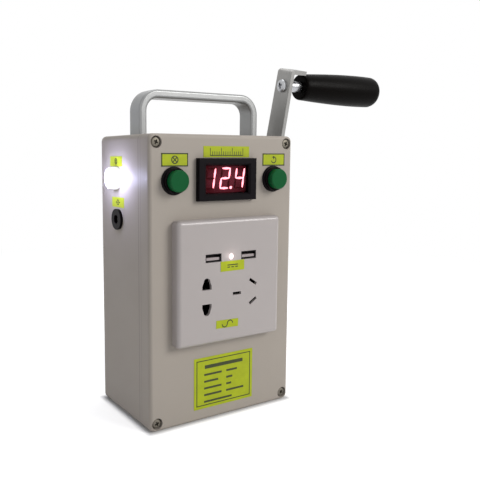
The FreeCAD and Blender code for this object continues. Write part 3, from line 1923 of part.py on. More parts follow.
# Circuit boards on standoffs from the box's back
board_back = inner_back - dim.board_standoff
board_front = board_back - dim.board_thickness
inverter_left = holder_left + holder_width + dim.inverter_battery_gap
inverter_right = inner_side - dim.inverter_side_gap
inverter_x = (inverter_left + inverter_right) / 2
inverter_bottom = dim.case_wall + dim.inverter_floor_gap
inverter_top = generator_height - dim.generator_radius - dim.inverter_generator_gap
charger_left = dim.charger_side_gap - inner_side
charger_right = can_start - dim.charger_generator_gap
boards = {
    "inverter_board": (
        inverter_x,
        inverter_right - inverter_left,
        inverter_bottom,
        inverter_top - inverter_bottom,
    ),
    "charge_board": (
        (charger_left + charger_right) / 2,
        charger_right - charger_left,
        dim.charger_bottom,
        dim.charger_height,
    ),
}
capacitor_level = inverter_bottom + 2 * dim.standoff_inset + dim.capacitor_radius
sink_bottom = inverter_top - dim.sink_height


def standoff_places():
    return [
        (x + side * (width / 2 - dim.standoff_inset), bottom + inset)
        for x, width, bottom, height in boards.values()
        for side in (-1, 1)
        for inset in (dim.standoff_inset, height - dim.standoff_inset)
    ]


def make_boards():
    for label, (x, width, bottom, height) in boards.items():
        board = Piece(label)
        board.pad("XZ", board_front, dim.board_thickness, rectangle(x, bottom + height / 2, width, height))
    standoffs = Piece("board_standoffs", several=True)
    standoffs.pad(
        "XZ",
        board_back,
        dim.board_standoff,
        *[circle(x, z, dim.standoff_radius) for x, z in standoff_places()],
    )


def make_transformer():
    """A coil on a laminated core, standing on the inverter board."""
    core_bottom = capacitor_level + dim.capacitor_radius + dim.part_gap
    core_height = sink_bottom - dim.part_gap - core_bottom
    coil_height = core_height - 2 * dim.core_yoke
    height = core_bottom + core_height / 2
    transformer = Piece("inverter_transformer")
    coil_front = board_front - dim.coil_depth
    core_front = board_front - (dim.coil_depth + dim.core_depth) / 2
    transformer.pad(
        "XZ",
        coil_front,
        dim.coil_depth,
        rounded_rectangle(inverter_x, height, dim.coil_width, coil_height, dim.coil_corner_radius),
    )
    transformer.pad(
        "XZ",
        core_front,
        dim.core_depth,
        rectangle(inverter_x, height, dim.core_width, core_height),
    )


def make_capacitors():
    spread = dim.capacitor_radius + dim.capacitor_gap / 2
    capacitors = Piece("inverter_capacitors", several=True)
    capacitors.pad(
        "XZ",
        board_front - dim.capacitor_length,
        dim.capacitor_length,
        *[circle(inverter_x + side * spread, capacitor_level, dim.capacitor_radius) for side in (-1, 1)],
    )
    capacitors.chamfer(dim.capacitor_edge, lying_at("Y", board_front - dim.capacitor_length))


def make_heat_sink():
    """A comb of fins that stand out from the top of the inverter board."""
    height = sink_bottom + dim.sink_height / 2
    sink = Piece("heat_sink")
    sink.pad(
        "XZ",
        board_front - dim.sink_base,
        dim.sink_base,
        rectangle(inverter_x, height, dim.sink_width, dim.sink_height),
    )
    fins = round(dim.fin_count.number)
    fin_pitch = (dim.sink_width - dim.fin_thickness) / (fins - 1)
    first_fin = inverter_x - (dim.sink_width - dim.fin_thickness) / 2
    sink.pad(
        "XZ",
        board_front - dim.sink_depth,
        dim.sink_depth - dim.sink_base,
        *[
            rectangle(first_fin + fin * fin_pitch, height, dim.fin_thickness, dim.sink_height)
            for fin in range(fins)
        ],
    )


MAKERS = [
    make_case_shell,
    make_front_cover,
    make_cover_gasket,
    make_cover_screws,
    make_carry_handle,
    make_handle_screws,
    make_socket_faceplate,
    make_socket_frame,
    make_socket_screws,
    make_socket_contacts,
    make_usb_shells,
    make_usb_tongues,
    make_pilot_lens,
    make_meter_bezel,
    make_meter_inside,
    make_button_bodies,
    make_button_nuts,
    make_button_caps,
    make_button_springs,
    make_lamp,
    make_charge_jack,
    make_labels,
    make_crank_bush,
    make_crank_shaft,
    make_crank_arm,
    make_crank_nut,
    make_grip_spindle,
    make_grip_nut,
    make_grip,
    make_grip_cap,
    make_drive_wheel,
    make_idler_gear,
    make_idler_shaft,
    make_gear_plates,
    make_plate_pillars,
    make_gearbox_screws,
    make_generator,
    make_battery,
    make_boards,
    make_transformer,
    make_capacitors,
    make_heat_sink,
]

for make in MAKERS:
    make()
doc.recompute()

failed = [item.Label for item in doc.Objects if {"Invalid", "Error"} & set(item.State)]
if failed:
    raise RuntimeError(f"these objects failed to build: {failed}")

os.makedirs("parts", exist_ok=True)
for piece in Piece.made:
    if piece.Shape.isNull() or not piece.Shape.isValid():
        raise RuntimeError(f"{piece.Label} has no valid shape")
    piece.Shape.exportStep(f"parts/{piece.Label}.step")
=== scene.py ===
"""The finished look of a hand crank generator.

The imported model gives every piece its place. This script dresses each of its nodes, replaces the
fasteners, the return springs, the grip and its spindle, adds the meter's figures and the stickers'
marks, and sets up the studio. Lengths are metres; the front is at -Y and up is +Z.
"""

from __future__ import annotations

import json
import logging
import math
from collections.abc import Callable, Sequence
from dataclasses import dataclass, field
from enum import Enum
from typing import Any

import bpy
from mathutils import Matrix, Vector

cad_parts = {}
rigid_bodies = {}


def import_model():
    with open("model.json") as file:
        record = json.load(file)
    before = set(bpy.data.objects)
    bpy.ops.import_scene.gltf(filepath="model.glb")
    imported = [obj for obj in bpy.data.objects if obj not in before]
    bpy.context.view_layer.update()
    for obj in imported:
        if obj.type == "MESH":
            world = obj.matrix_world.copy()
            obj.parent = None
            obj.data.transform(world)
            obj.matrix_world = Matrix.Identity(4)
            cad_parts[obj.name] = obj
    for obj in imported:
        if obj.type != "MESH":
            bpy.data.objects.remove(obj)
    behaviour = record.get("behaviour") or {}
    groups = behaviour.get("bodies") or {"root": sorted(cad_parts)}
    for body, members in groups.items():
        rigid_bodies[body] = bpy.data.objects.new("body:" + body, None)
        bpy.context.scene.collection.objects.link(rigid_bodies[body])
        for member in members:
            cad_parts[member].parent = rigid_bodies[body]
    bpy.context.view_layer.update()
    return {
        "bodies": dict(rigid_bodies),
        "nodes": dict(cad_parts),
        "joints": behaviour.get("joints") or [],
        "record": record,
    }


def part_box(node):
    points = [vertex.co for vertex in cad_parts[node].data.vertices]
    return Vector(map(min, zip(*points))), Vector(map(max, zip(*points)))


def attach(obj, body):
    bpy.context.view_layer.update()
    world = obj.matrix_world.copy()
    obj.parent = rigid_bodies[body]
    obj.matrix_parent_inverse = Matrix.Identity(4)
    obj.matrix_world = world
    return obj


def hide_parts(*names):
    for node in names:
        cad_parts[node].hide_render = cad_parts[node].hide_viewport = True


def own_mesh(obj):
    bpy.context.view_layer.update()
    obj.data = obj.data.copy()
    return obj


log = logging.getLogger("hand_crank_generator")

MM = 0.001

Colour = tuple[float, float, float, float]
Point = tuple[float, float]


def screen_colour(red: float, green: float, blue: float) -> Colour:
    """Turns a colour as a screen shows it, 0 to 255, into the light values that a shader takes.

    Args:
        red: The red share.
        green: The green share.
        blue: The blue share.

    Returns:
        The four values of a colour socket.
    """

    def linear(value: float) -> float:
        """Undoes the screen's curve for one share."""
        share = value / 255
        return share / 12.92 if share <= 0.04045 else ((share + 0.055) / 1.055) ** 2.4

    return (linear(red), linear(green), linear(blue), 1.0)


def tinted(colour: Colour, factor: float) -> Colour:
    """Makes a colour darker or lighter.

    Args:
        colour: The colour to start from.
        factor: Under 1 darkens, over 1 lightens.

    Returns:
        The new colour.
    """
    red, green, blue = (min(1.0, share * factor) for share in colour[:3])
    return (red, green, blue, 1.0)


# Finishes


class Graph:
    """A material's nodes, added and wired one by one."""

    def __init__(self, name: str) -> None:
        """Starts an empty material.

        Args:
            name: The material's name.
        """
        self.material = bpy.data.materials.new(name)
        self.material.use_nodes = True
        self.tree = self.material.node_tree
        self.tree.nodes.clear()
        self.output = self.add("ShaderNodeOutputMaterial")
        self.place = self.add("ShaderNodeTexCoord").outputs["Object"]

    def add(self, kind: str, **values: Any) -> bpy.types.Node:
        """Adds one node.

        Args:
            kind: The node's type.
            **values: Its settings, and its input sockets' constants by their name with _ for a space.

        Returns:
            The node.
        """
        node = self.tree.nodes.new(kind)
        for name, value in values.items():
            socket = name.replace("_", " ")
            if hasattr(node, name):
                setattr(node, name, value)
            else:
                node.inputs[socket].default_value = value
        return node

    def wire(self, start: bpy.types.NodeSocket, end: bpy.types.NodeSocket) -> None:
        """Joins an output to an input."""
        self.tree.links.new(start, end)

    def stretched(self, scale: tuple[float, float, float]) -> bpy.types.NodeSocket:
        """The place on the piece, scaled apart on each axis.

        Args:
            scale: The factor on X, Y and Z.

        Returns:
            The vector output.
        """
        mapping = self.add("ShaderNodeMapping")
        mapping.inputs["Scale"].default_value = scale
        self.wire(self.place, mapping.inputs["Vector"])
        return mapping.outputs["Vector"]

    def noise(
        self,
        scale: float,
        detail: float = 2.0,
        roughness: float = 0.5,
        vector: bpy.types.NodeSocket | None = None,
    ) -> bpy.types.NodeSocket:
        """A cloudy pattern.

        Args:
            scale: Spots per metre.
            detail: How many finer layers it has.
            roughness: How strong those are.
            vector: Where it is read; the place on the piece where None.

        Returns:
            The factor output.
        """
        node = self.add("ShaderNodeTexNoise", Scale=scale, Detail=detail, Roughness=roughness)
        self.wire(vector or self.place, node.inputs["Vector"])
        return node.outputs["Fac"]

    def spread(
        self, factor: bpy.types.NodeSocket, low: float, high: float, start: float = 0.3, end: float = 0.7
    ) -> bpy.types.NodeSocket:
        """Maps a pattern's middle range to two values.

        Args:
            factor: The pattern.
            low: The value at start.
            high: The value at end.
            start: Where the range starts.
            end: Where the range ends.

        Returns:
            The mapped output.
        """
        node = self.add("ShaderNodeMapRange")
        for name, value in (("From Min", start), ("From Max", end), ("To Min", low), ("To Max", high)):
            node.inputs[name].default_value = value
        self.wire(factor, node.inputs["Value"])
        return node.outputs["Result"]

    def shades(
        self, factor: bpy.types.NodeSocket, dark: Colour, light: Colour, start: float = 0.3, end: float = 0.7
    ) -> bpy.types.NodeSocket:
        """Runs a pattern from one colour to another.

        Args:
            factor: The pattern.
            dark: The colour at start.
            light: The colour at end.
            start: Where the first colour ends.
            end: Where the second one starts.

        Returns:
            The colour output.
        """
        ramp = self.add("ShaderNodeValToRGB")
        ramp.color_ramp.elements[0].position = start
        ramp.color_ramp.elements[0].color = dark
        ramp.color_ramp.elements[1].position = end
        ramp.color_ramp.elements[1].color = light
        self.wire(factor, ramp.inputs["Fac"])
        return ramp.outputs["Color"]

    def over(
        self, factor: bpy.types.NodeSocket, below: bpy.types.NodeSocket, above: Colour
    ) -> bpy.types.NodeSocket:
        """Lays a flat colour over another one where a mask is 1.

        Args:
            factor: The mask.
            below: The colour underneath.
            above: The colour on top.

        Returns:
            The mixed colour output.
        """
        mix = self.add("ShaderNodeMix", data_type="RGBA")
        mix.inputs[7].default_value = above
        self.wire(factor, mix.inputs[0])
        self.wire(below, mix.inputs[6])
        return mix.outputs[2]

    def bumps(
        self,
        height: bpy.types.NodeSocket,
        strength: float,
        depth: float,
        under: bpy.types.NodeSocket | None = None,
    ) -> bpy.types.NodeSocket:
        """Turns a pattern into relief.

        Args:
            height: The pattern.
            strength: From 0 to 1.
            depth: The relief's height in metres.
            under: A coarser relief that this one is laid on.

        Returns:
            The normal output.
        """
        node = self.add("ShaderNodeBump", Strength=strength, Distance=depth)
        self.wire(height, node.inputs["Height"])
        if under is not None:
            self.wire(under, node.inputs["Normal"])
        return node.outputs["Normal"]

    def dappled(
        self,
        factor: bpy.types.NodeSocket,
        colour: Colour,
        dark: float,
        light: float,
        start: float = 0.3,
        end: float = 0.7,
    ) -> bpy.types.NodeSocket:
        """Runs a pattern from a darker to a lighter tint of one colour.

        Args:
            factor: The pattern.
            colour: The colour.
            dark: The tint at start.
            light: The tint at end.
            start: Where the dark tint ends.
            end: Where the light one starts.

        Returns:
            The colour output.
        """
        return self.shades(factor, tinted(colour, dark), tinted(colour, light), start, end)

    def shader(self, **values: Any) -> bpy.types.Material:
        """Adds the surface shader and finishes the material.

        Args:
            **values: Its inputs by their name with _ for a space: a constant, or the output to wire in.

        Returns:
            The material.
        """
        outputs = {n: v for n, v in values.items() if isinstance(v, bpy.types.NodeSocket)}
        node = self.add("ShaderNodeBsdfPrincipled", **{n: v for n, v in values.items() if n not in outputs})
        for name, output in outputs.items():
            self.wire(output, node.inputs[name.replace("_", " ")])
        self.wire(node.outputs["BSDF"], self.output.inputs["Surface"])
        return self.material


@dataclass(frozen=True)
class MouldedPlastic:
    """Moulded plastic: a fine grain, faint flow marks, and a sheen that varies with handling."""

    name: str
    colour: Colour
    roughness: float = 0.45
    grain: float = 0.35 * MM
    relief: float = 0.02 * MM
    mottle: float = 0.03
    gloss: float = 0.0
    specular: float = 0.4
    joints: tuple[float, ...] = ()
    joint_width: float = 0.45 * MM

    def material(self) -> bpy.types.Material:
        """Builds the node material."""
        graph = Graph(self.name)
        flow = graph.noise(9, 2, 0.4, graph.stretched((1.0, 1.0, 0.35)))
        tone = graph.dappled(
            graph.noise(18, 3, 0.5), self.colour, 1 - self.mottle, 1 + self.mottle, 0.2, 0.8
        )
        dust = graph.spread(flow, 0.0, 0.3, 0.4, 0.9)
        tone = graph.over(dust, tone, tinted(self.colour, 1 - 2 * self.mottle))
        relief = graph.bumps(graph.noise(45, 1, 0.4), 0.25, 0.06 * MM)
        for number, place in enumerate(self.joints):
            groove = self.groove(graph, place)
            tone = graph.over(graph.spread(groove, 0.0, 0.5 / (1 + number), 0.0, 1.0), tone, self.shaded)
            relief = graph.bumps(groove, -0.6, 0.3 * MM, relief)
        return graph.shader(
            Base_Color=tone,
            Roughness=graph.spread(graph.noise(70, 3, 0.6), self.roughness * 0.92, self.roughness * 1.12),
            Normal=graph.bumps(graph.noise(1 / self.grain, 2, 0.5), 0.5, self.relief, relief),
            Specular_IOR_Level=self.specular,
            Coat_Weight=self.gloss,
            Coat_Roughness=0.08,
        )

    @property
    def shaded(self) -> Colour:
        """The colour in the depth of a joint."""
        return tinted(self.colour, 0.3)

    def groove(self, graph: Graph, place: float) -> bpy.types.NodeSocket:
        """A mask that is 1 on the line where two mouldings meet.

        Args:
            graph: The material's nodes.
            place: Where the line is on Y.

        Returns:
            The mask output.
        """
        spot = graph.add("ShaderNodeSeparateXYZ")
        graph.wire(graph.place, spot.inputs[0])
        away = graph.add("ShaderNodeMath", operation="SUBTRACT")
        away.inputs[1].default_value = place
        graph.wire(spot.outputs["Y"], away.inputs[0])
        distance = graph.add("ShaderNodeMath", operation="ABSOLUTE")
        graph.wire(away.outputs[0], distance.inputs[0])
        return graph.spread(distance.outputs[0], 1.0, 0.0, self.joint_width * 0.3, self.joint_width)


@dataclass(frozen=True)
class WorkedMetal:
    """Rolled, drawn or plated metal: fine lines along one axis, scuffs and faint stains."""

    name: str
    colour: Colour
    roughness: float = 0.32
    along: tuple[float, float, float] = (0.04, 1.0, 1.0)
    lines: float = 2600.0
    stain: float = 0.10
    relief: float = 0.012 * MM

    def material(self) -> bpy.types.Material:
        """Builds the node material."""
        graph = Graph(self.name)
        strokes = graph.noise(self.lines, 3, 0.65, graph.stretched(self.along))
        clouds = graph.noise(55, 4, 0.65)
        scuffs = graph.noise(420, 5, 0.75, graph.stretched((0.3, 1.0, 1.0)))
        tone = graph.dappled(clouds, self.colour, 1 - self.stain, 1 + self.stain / 2)
        worn = graph.spread(scuffs, 0.0, 0.5, 0.62, 0.74)
        dents = graph.bumps(clouds, 0.2, 0.05 * MM)
        return graph.shader(
            Base_Color=graph.over(worn, tone, tinted(self.colour, 1.2)),
            Roughness=graph.spread(strokes, self.roughness - 0.06, self.roughness + 0.10),
            Normal=graph.bumps(strokes, 0.4, self.relief, dents),
            Metallic=1.0,
        )


@dataclass(frozen=True)
class SatinCoat:
    """Aluminium under a thin pale lacquer: half metal, half coat, with an orange-peel skin."""

    name: str
    colour: Colour
    roughness: float = 0.34

    def material(self) -> bpy.types.Material:
        """Builds the node material."""
        graph = Graph(self.name)
        return graph.shader(
            Base_Color=graph.dappled(graph.noise(40, 3, 0.6), self.colour, 0.95, 1.04),
            Roughness=graph.spread(graph.noise(160, 4, 0.7), self.roughness - 0.05, self.roughness + 0.09),
            Normal=graph.bumps(graph.noise(1500, 2, 0.5), 0.3, 0.02 * MM),
            Metallic=0.5,
            Coat_Weight=0.12,
            Coat_Roughness=0.16,
        )


@dataclass(frozen=True)
class GlossyMoulding:
    """Hard glossy plastic such as a crank's grip: deep colour, smooth waves, fine hairline scratches."""

    name: str
    colour: Colour
    roughness: float = 0.16
    coat: float = 0.4
    specular: float = 0.4

    def material(self) -> bpy.types.Material:
        """Builds the node material."""
        graph = Graph(self.name)
        scratches = graph.noise(900, 4, 0.8, graph.stretched((0.12, 1.0, 1.0)))
        waves = graph.bumps(graph.noise(70, 1, 0.4), 0.3, 0.1 * MM)
        return graph.shader(
            Base_Color=graph.dappled(graph.noise(60, 3, 0.6), self.colour, 0.85, 1.15),
            Roughness=graph.spread(scratches, self.roughness - 0.04, self.roughness + 0.16),
            Normal=graph.bumps(scratches, 0.12, 0.006 * MM, waves),
            Specular_IOR_Level=self.specular,
            Coat_Weight=self.coat,
            Coat_Roughness=0.05,
        )


@dataclass(frozen=True)
class ClearPane:
    """A clear or tinted pane: what is behind it shows, and the studio reflects in it."""

    name: str
    tint: Colour
    shine: float = 0.12

    def material(self) -> bpy.types.Material:
        """Builds the node material."""
        graph = Graph(self.name)
        through = graph.add("ShaderNodeBsdfTransparent")
        haze = graph.shades(graph.noise(90, 3, 0.6), tinted(self.tint, 0.92), self.tint)
        graph.wire(haze, through.inputs["Color"])
        gloss = graph.add("ShaderNodeBsdfGlossy")
        graph.wire(graph.spread(graph.noise(120, 3, 0.6), 0.06, 0.16), gloss.inputs["Roughness"])
        edge = graph.add("ShaderNodeLayerWeight", Blend=self.shine)
        mix = graph.add("ShaderNodeMixShader")
        graph.wire(edge.outputs["Fresnel"], mix.inputs[0])
        graph.wire(through.outputs[0], mix.inputs[1])
        graph.wire(gloss.outputs[0], mix.inputs[2])
        graph.wire(mix.outputs[0], graph.output.inputs["Surface"])
        return graph.material


@dataclass(frozen=True)
class LitLens:
    """A lens with light behind it: brightest in the middle, with a moulded facet pattern. The torch's chrome
    hood wears it too, as a painted glow, though the hood is no lamp.
    """

    name: str
    colour: Colour
    strength: float
    body: Colour = field(default_factory=lambda: screen_colour(245, 245, 245))

    def material(self) -> bpy.types.Material:
        """Builds the node material."""
        graph = Graph(self.name)
        cells = graph.add("ShaderNodeTexVoronoi", Scale=900.0)
        graph.wire(graph.place, cells.inputs["Vector"])
        facets = cells.outputs["Distance"]
        return graph.shader(
            Base_Color=self.body,
            Roughness=0.2,
            Normal=graph.bumps(facets, 0.3, 0.1 * MM),
            Emission_Color=graph.dappled(facets, self.colour, 1.0, 0.8, 0.1, 0.9),
            Emission_Strength=self.strength,
        )


@dataclass(frozen=True)
class PaintedGlowFace:
    """The display's dark face with a painted glow: a soft red emission, strongest round a given centre and
    fading towards the frame, in place of the light that its figures throw on it.
    """

    name: str
    dark: Colour
    glow: Colour
    centre: tuple[float, float, float]
    reach: tuple[float, float, float]
    strength: float

    def material(self) -> bpy.types.Material:
        """Builds the node material."""
        graph = Graph(self.name)
        mapping = graph.add("ShaderNodeMapping")
        mapping.inputs["Location"].default_value = [
            -middle / reach for middle, reach in zip(self.centre, self.reach, strict=True)
        ]
        mapping.inputs["Scale"].default_value = [1 / reach for reach in self.reach]
        graph.wire(graph.place, mapping.inputs["Vector"])
        ball = graph.add("ShaderNodeTexGradient", gradient_type="SPHERICAL")
        graph.wire(mapping.outputs["Vector"], ball.inputs["Vector"])
        return graph.shader(
            Base_Color=graph.dappled(graph.noise(300, 3, 0.6), self.dark, 0.8, 1.2),
            Roughness=0.35,
            Normal=graph.bumps(graph.noise(1200, 2, 0.5), 0.2, 0.02 * MM),
            # Painted glow: red emission that fades out from the centre of the figures.
            Emission_Color=graph.shades(ball.outputs["Fac"], (0.0, 0.0, 0.0, 1.0), self.glow, 0.0, 0.75),
            Emission_Strength=self.strength,
        )


@dataclass(frozen=True)
class StickerFilm:
    """Printed yellow-green film: a little sheen, paper fibres, and ink that lies unevenly."""

    name: str
    colour: Colour

    def material(self) -> bpy.types.Material:
        """Builds the node material."""
        graph = Graph(self.name)
        fibres = graph.noise(1800, 4, 0.7, graph.stretched((1.0, 1.0, 0.4)))
        ink = graph.noise(150, 4, 0.65)
        tone = graph.dappled(ink, self.colour, 0.90, 1.06)
        flecks = graph.spread(fibres, 0.0, 0.35, 0.6, 0.8)
        return graph.shader(
            Base_Color=graph.over(flecks, tone, tinted(self.colour, 0.78)),
            Roughness=graph.spread(ink, 0.38, 0.55),
            Normal=graph.bumps(fibres, 0.35, 0.02 * MM),
            Specular_IOR_Level=0.2,
            Sheen_Weight=0.02,
        )


@dataclass(frozen=True)
class CircuitLaminate:
    """A circuit board: solder mask over a lattice of tracks, with pads that catch the light."""

    name: str
    mask: Colour
    copper: Colour

    def material(self) -> bpy.types.Material:
        """Builds the node material."""
        graph = Graph(self.name)
        tracks = graph.add("ShaderNodeTexBrick", Scale=260.0, offset=0.35)
        tracks.inputs["Mortar Size"].default_value = 0.012
        graph.wire(graph.stretched((1.0, 1.0, 0.7)), tracks.inputs["Vector"])
        tone = graph.dappled(graph.noise(80, 3, 0.6), self.mask, 0.85, 1.15)
        return graph.shader(
            Base_Color=graph.over(tracks.outputs["Fac"], tone, self.copper),
            Roughness=graph.spread(graph.noise(400, 2, 0.5), 0.28, 0.42),
            Normal=graph.bumps(tracks.outputs["Fac"], 0.3, 0.03 * MM),
            Coat_Weight=0.3,
            Coat_Roughness=0.1,
        )


@dataclass(frozen=True)
class StackedSheets:
    """Laminated iron or wound wire: thin layers along one axis."""

    name: str
    colour: Colour
    layers: float
    metallic: float
    along: tuple[float, float, float] = (1.0, 0.02, 0.02)

    def material(self) -> bpy.types.Material:
        """Builds the node material."""
        graph = Graph(self.name)
        bands = graph.add("ShaderNodeTexWave", Scale=self.layers, Distortion=0.4, Detail=1.0)
        graph.wire(graph.stretched(self.along), bands.inputs["Vector"])
        return graph.shader(
            Base_Color=graph.dappled(bands.outputs["Fac"], self.colour, 0.55, 1.1),
            Roughness=graph.spread(graph.noise(200, 3, 0.6), 0.35, 0.55),
            Normal=graph.bumps(bands.outputs["Fac"], 0.5, 0.05 * MM),
            Metallic=self.metallic,
        )


def finishes() -> dict[str, Any]:
    """The finish of each of the record's material slots.

    Returns:
        A finish by slot name.
    """
    return {
        "case_plastic": MouldedPlastic(
            "warm_grey_case",
            screen_colour(168, 160, 151),
            0.46,
            specular=0.15,
            joints=(-22.5 * MM, -25.6 * MM),
        ),
        "gasket_rubber": MouldedPlastic("seal_rubber", screen_colour(52, 50, 48), 0.7, 0.2 * MM, 0.03 * MM),
        "zinc_steel": WorkedMetal("zinc_plated_steel", screen_colour(112, 107, 98), 0.5),
        "ground_steel": WorkedMetal("ground_steel", screen_colour(176, 177, 180), 0.24, (1.0, 0.05, 0.05)),
        "spring_steel": WorkedMetal("spring_wire", screen_colour(170, 170, 174), 0.28),
        "handle_aluminium": SatinCoat("satin_handle", screen_colour(145, 146, 146)),
        "crank_steel": WorkedMetal("rolled_crank_steel", screen_colour(150, 149, 147), 0.46, (1.0, 1.0, 0.05)),
        "sink_aluminium": WorkedMetal("heat_sink_aluminium", screen_colour(160, 162, 166), 0.4),
        "plate_plastic": MouldedPlastic(
            "outlet_white", screen_colour(172, 165, 163), 0.3, 0.5 * MM, 0.003 * MM, 0.01, 0.3
        ),
        # The insert and the contacts are darker than their own colour so that the slots' insides look shaded:
        # painted shade.
        "frame_plastic": MouldedPlastic("outlet_insert", screen_colour(10, 8, 9), 0.6, specular=0.06),
        "contact_brass": WorkedMetal("contact_brass", screen_colour(92, 74, 40), 0.4),
        "gear_brass": WorkedMetal("gear_brass", screen_colour(196, 160, 86), 0.26, (1.0, 0.4, 0.4)),
        "usb_steel": WorkedMetal("port_steel", screen_colour(44, 42, 44), 0.3),
        "usb_plastic": MouldedPlastic("port_tongue", screen_colour(166, 156, 156), 0.38),
        "pilot_light": LitLens("pilot_glow", (1.0, 0.84, 0.83, 1.0), 0.7, screen_colour(225, 210, 210)),
        "black_plastic": MouldedPlastic(
            "black_moulding", screen_colour(12, 8, 12), 0.36, 0.3 * MM, 0.01 * MM, 0.08, specular=0.07
        ),
        "meter_glass": ClearPane("meter_pane", screen_colour(225, 150, 160), 0.06),
        # The display's face carries a painted red glow round its figures.
        "display_plastic": PaintedGlowFace(
            "display_face",
            screen_colour(34, 10, 16),
            (0.24, 0.14, 0.18, 1.0),
            (0.0, -37.9 * MM, 170.0 * MM),
            (24.0 * MM, 20.0 * MM, 14.0 * MM),
            0.6,
        ),
        "button_green": MouldedPlastic(
            "button_green", screen_colour(6, 84, 42), 0.3, 0.4 * MM, 0.008 * MM, 0.05, specular=0.12
        ),
        # The torch's chrome hood is no lamp: its emission is a painted glow that makes it look lit white by the
        # lamp inside.
        "lamp_chrome": LitLens("lit_hood", (0.93, 0.94, 1.0, 1.0), 0.75, screen_colour(226, 228, 234)),
        "lamp_glass": LitLens("lamp_lens_glow", (0.96, 0.97, 1.0, 1.0), 9.0),
        "lamp_light": LitLens("lamp_diode_glow", (0.95, 0.97, 1.0, 1.0), 14.0),
        "sticker": StickerFilm("sticker_film", screen_colour(170, 182, 34)),
        "grip_plastic": GlossyMoulding("grip_black", screen_colour(6, 4, 3), 0.3, 0.0, 0.035),
        "generator_steel": WorkedMetal("generator_can", screen_colour(160, 160, 162), 0.34, (1.0, 0.1, 0.1)),
        "magnet": MouldedPlastic("ferrite_magnet", screen_colour(58, 56, 56), 0.6),
        "rotor_iron": StackedSheets("rotor_laminations", screen_colour(140, 138, 134), 1600.0, 0.9),
        "cell_wrap": GlossyMoulding("cell_wrap_blue", screen_colour(40, 92, 148), 0.3, 0.2),
        "holder_plastic": MouldedPlastic("holder_black", screen_colour(38, 38, 40), 0.5),
        "board": CircuitLaminate("board_green", screen_colour(22, 88, 52), screen_colour(120, 150, 96)),
        "standoff_nylon": MouldedPlastic("standoff_nylon", screen_colour(222, 218, 204), 0.5),
        "transformer": StackedSheets("transformer_windings", screen_colour(186, 112, 58), 900.0, 0.3),
        "capacitor_sleeve": GlossyMoulding("capacitor_sleeve", screen_colour(36, 40, 70), 0.28, 0.2),
    }


# Bench: how a new piece is modelled


class Facing(Enum):
    """Which way a piece's own up side looks once it stands on the object."""

    UP = (0.0, 0.0, 0.0)
    FRONT = (math.pi / 2, 0.0, 0.0)
    LEFT = (math.pi / 2, 0.0, -math.pi / 2)
    RIGHT = (math.pi / 2, 0.0, math.pi / 2)


def deselect_all() -> None:
    """Leaves nothing selected, in object mode."""
    if bpy.context.object is not None and bpy.context.object.mode != "OBJECT":
        bpy.ops.object.mode_set(mode="OBJECT")
    bpy.ops.object.select_all(action="DESELECT")


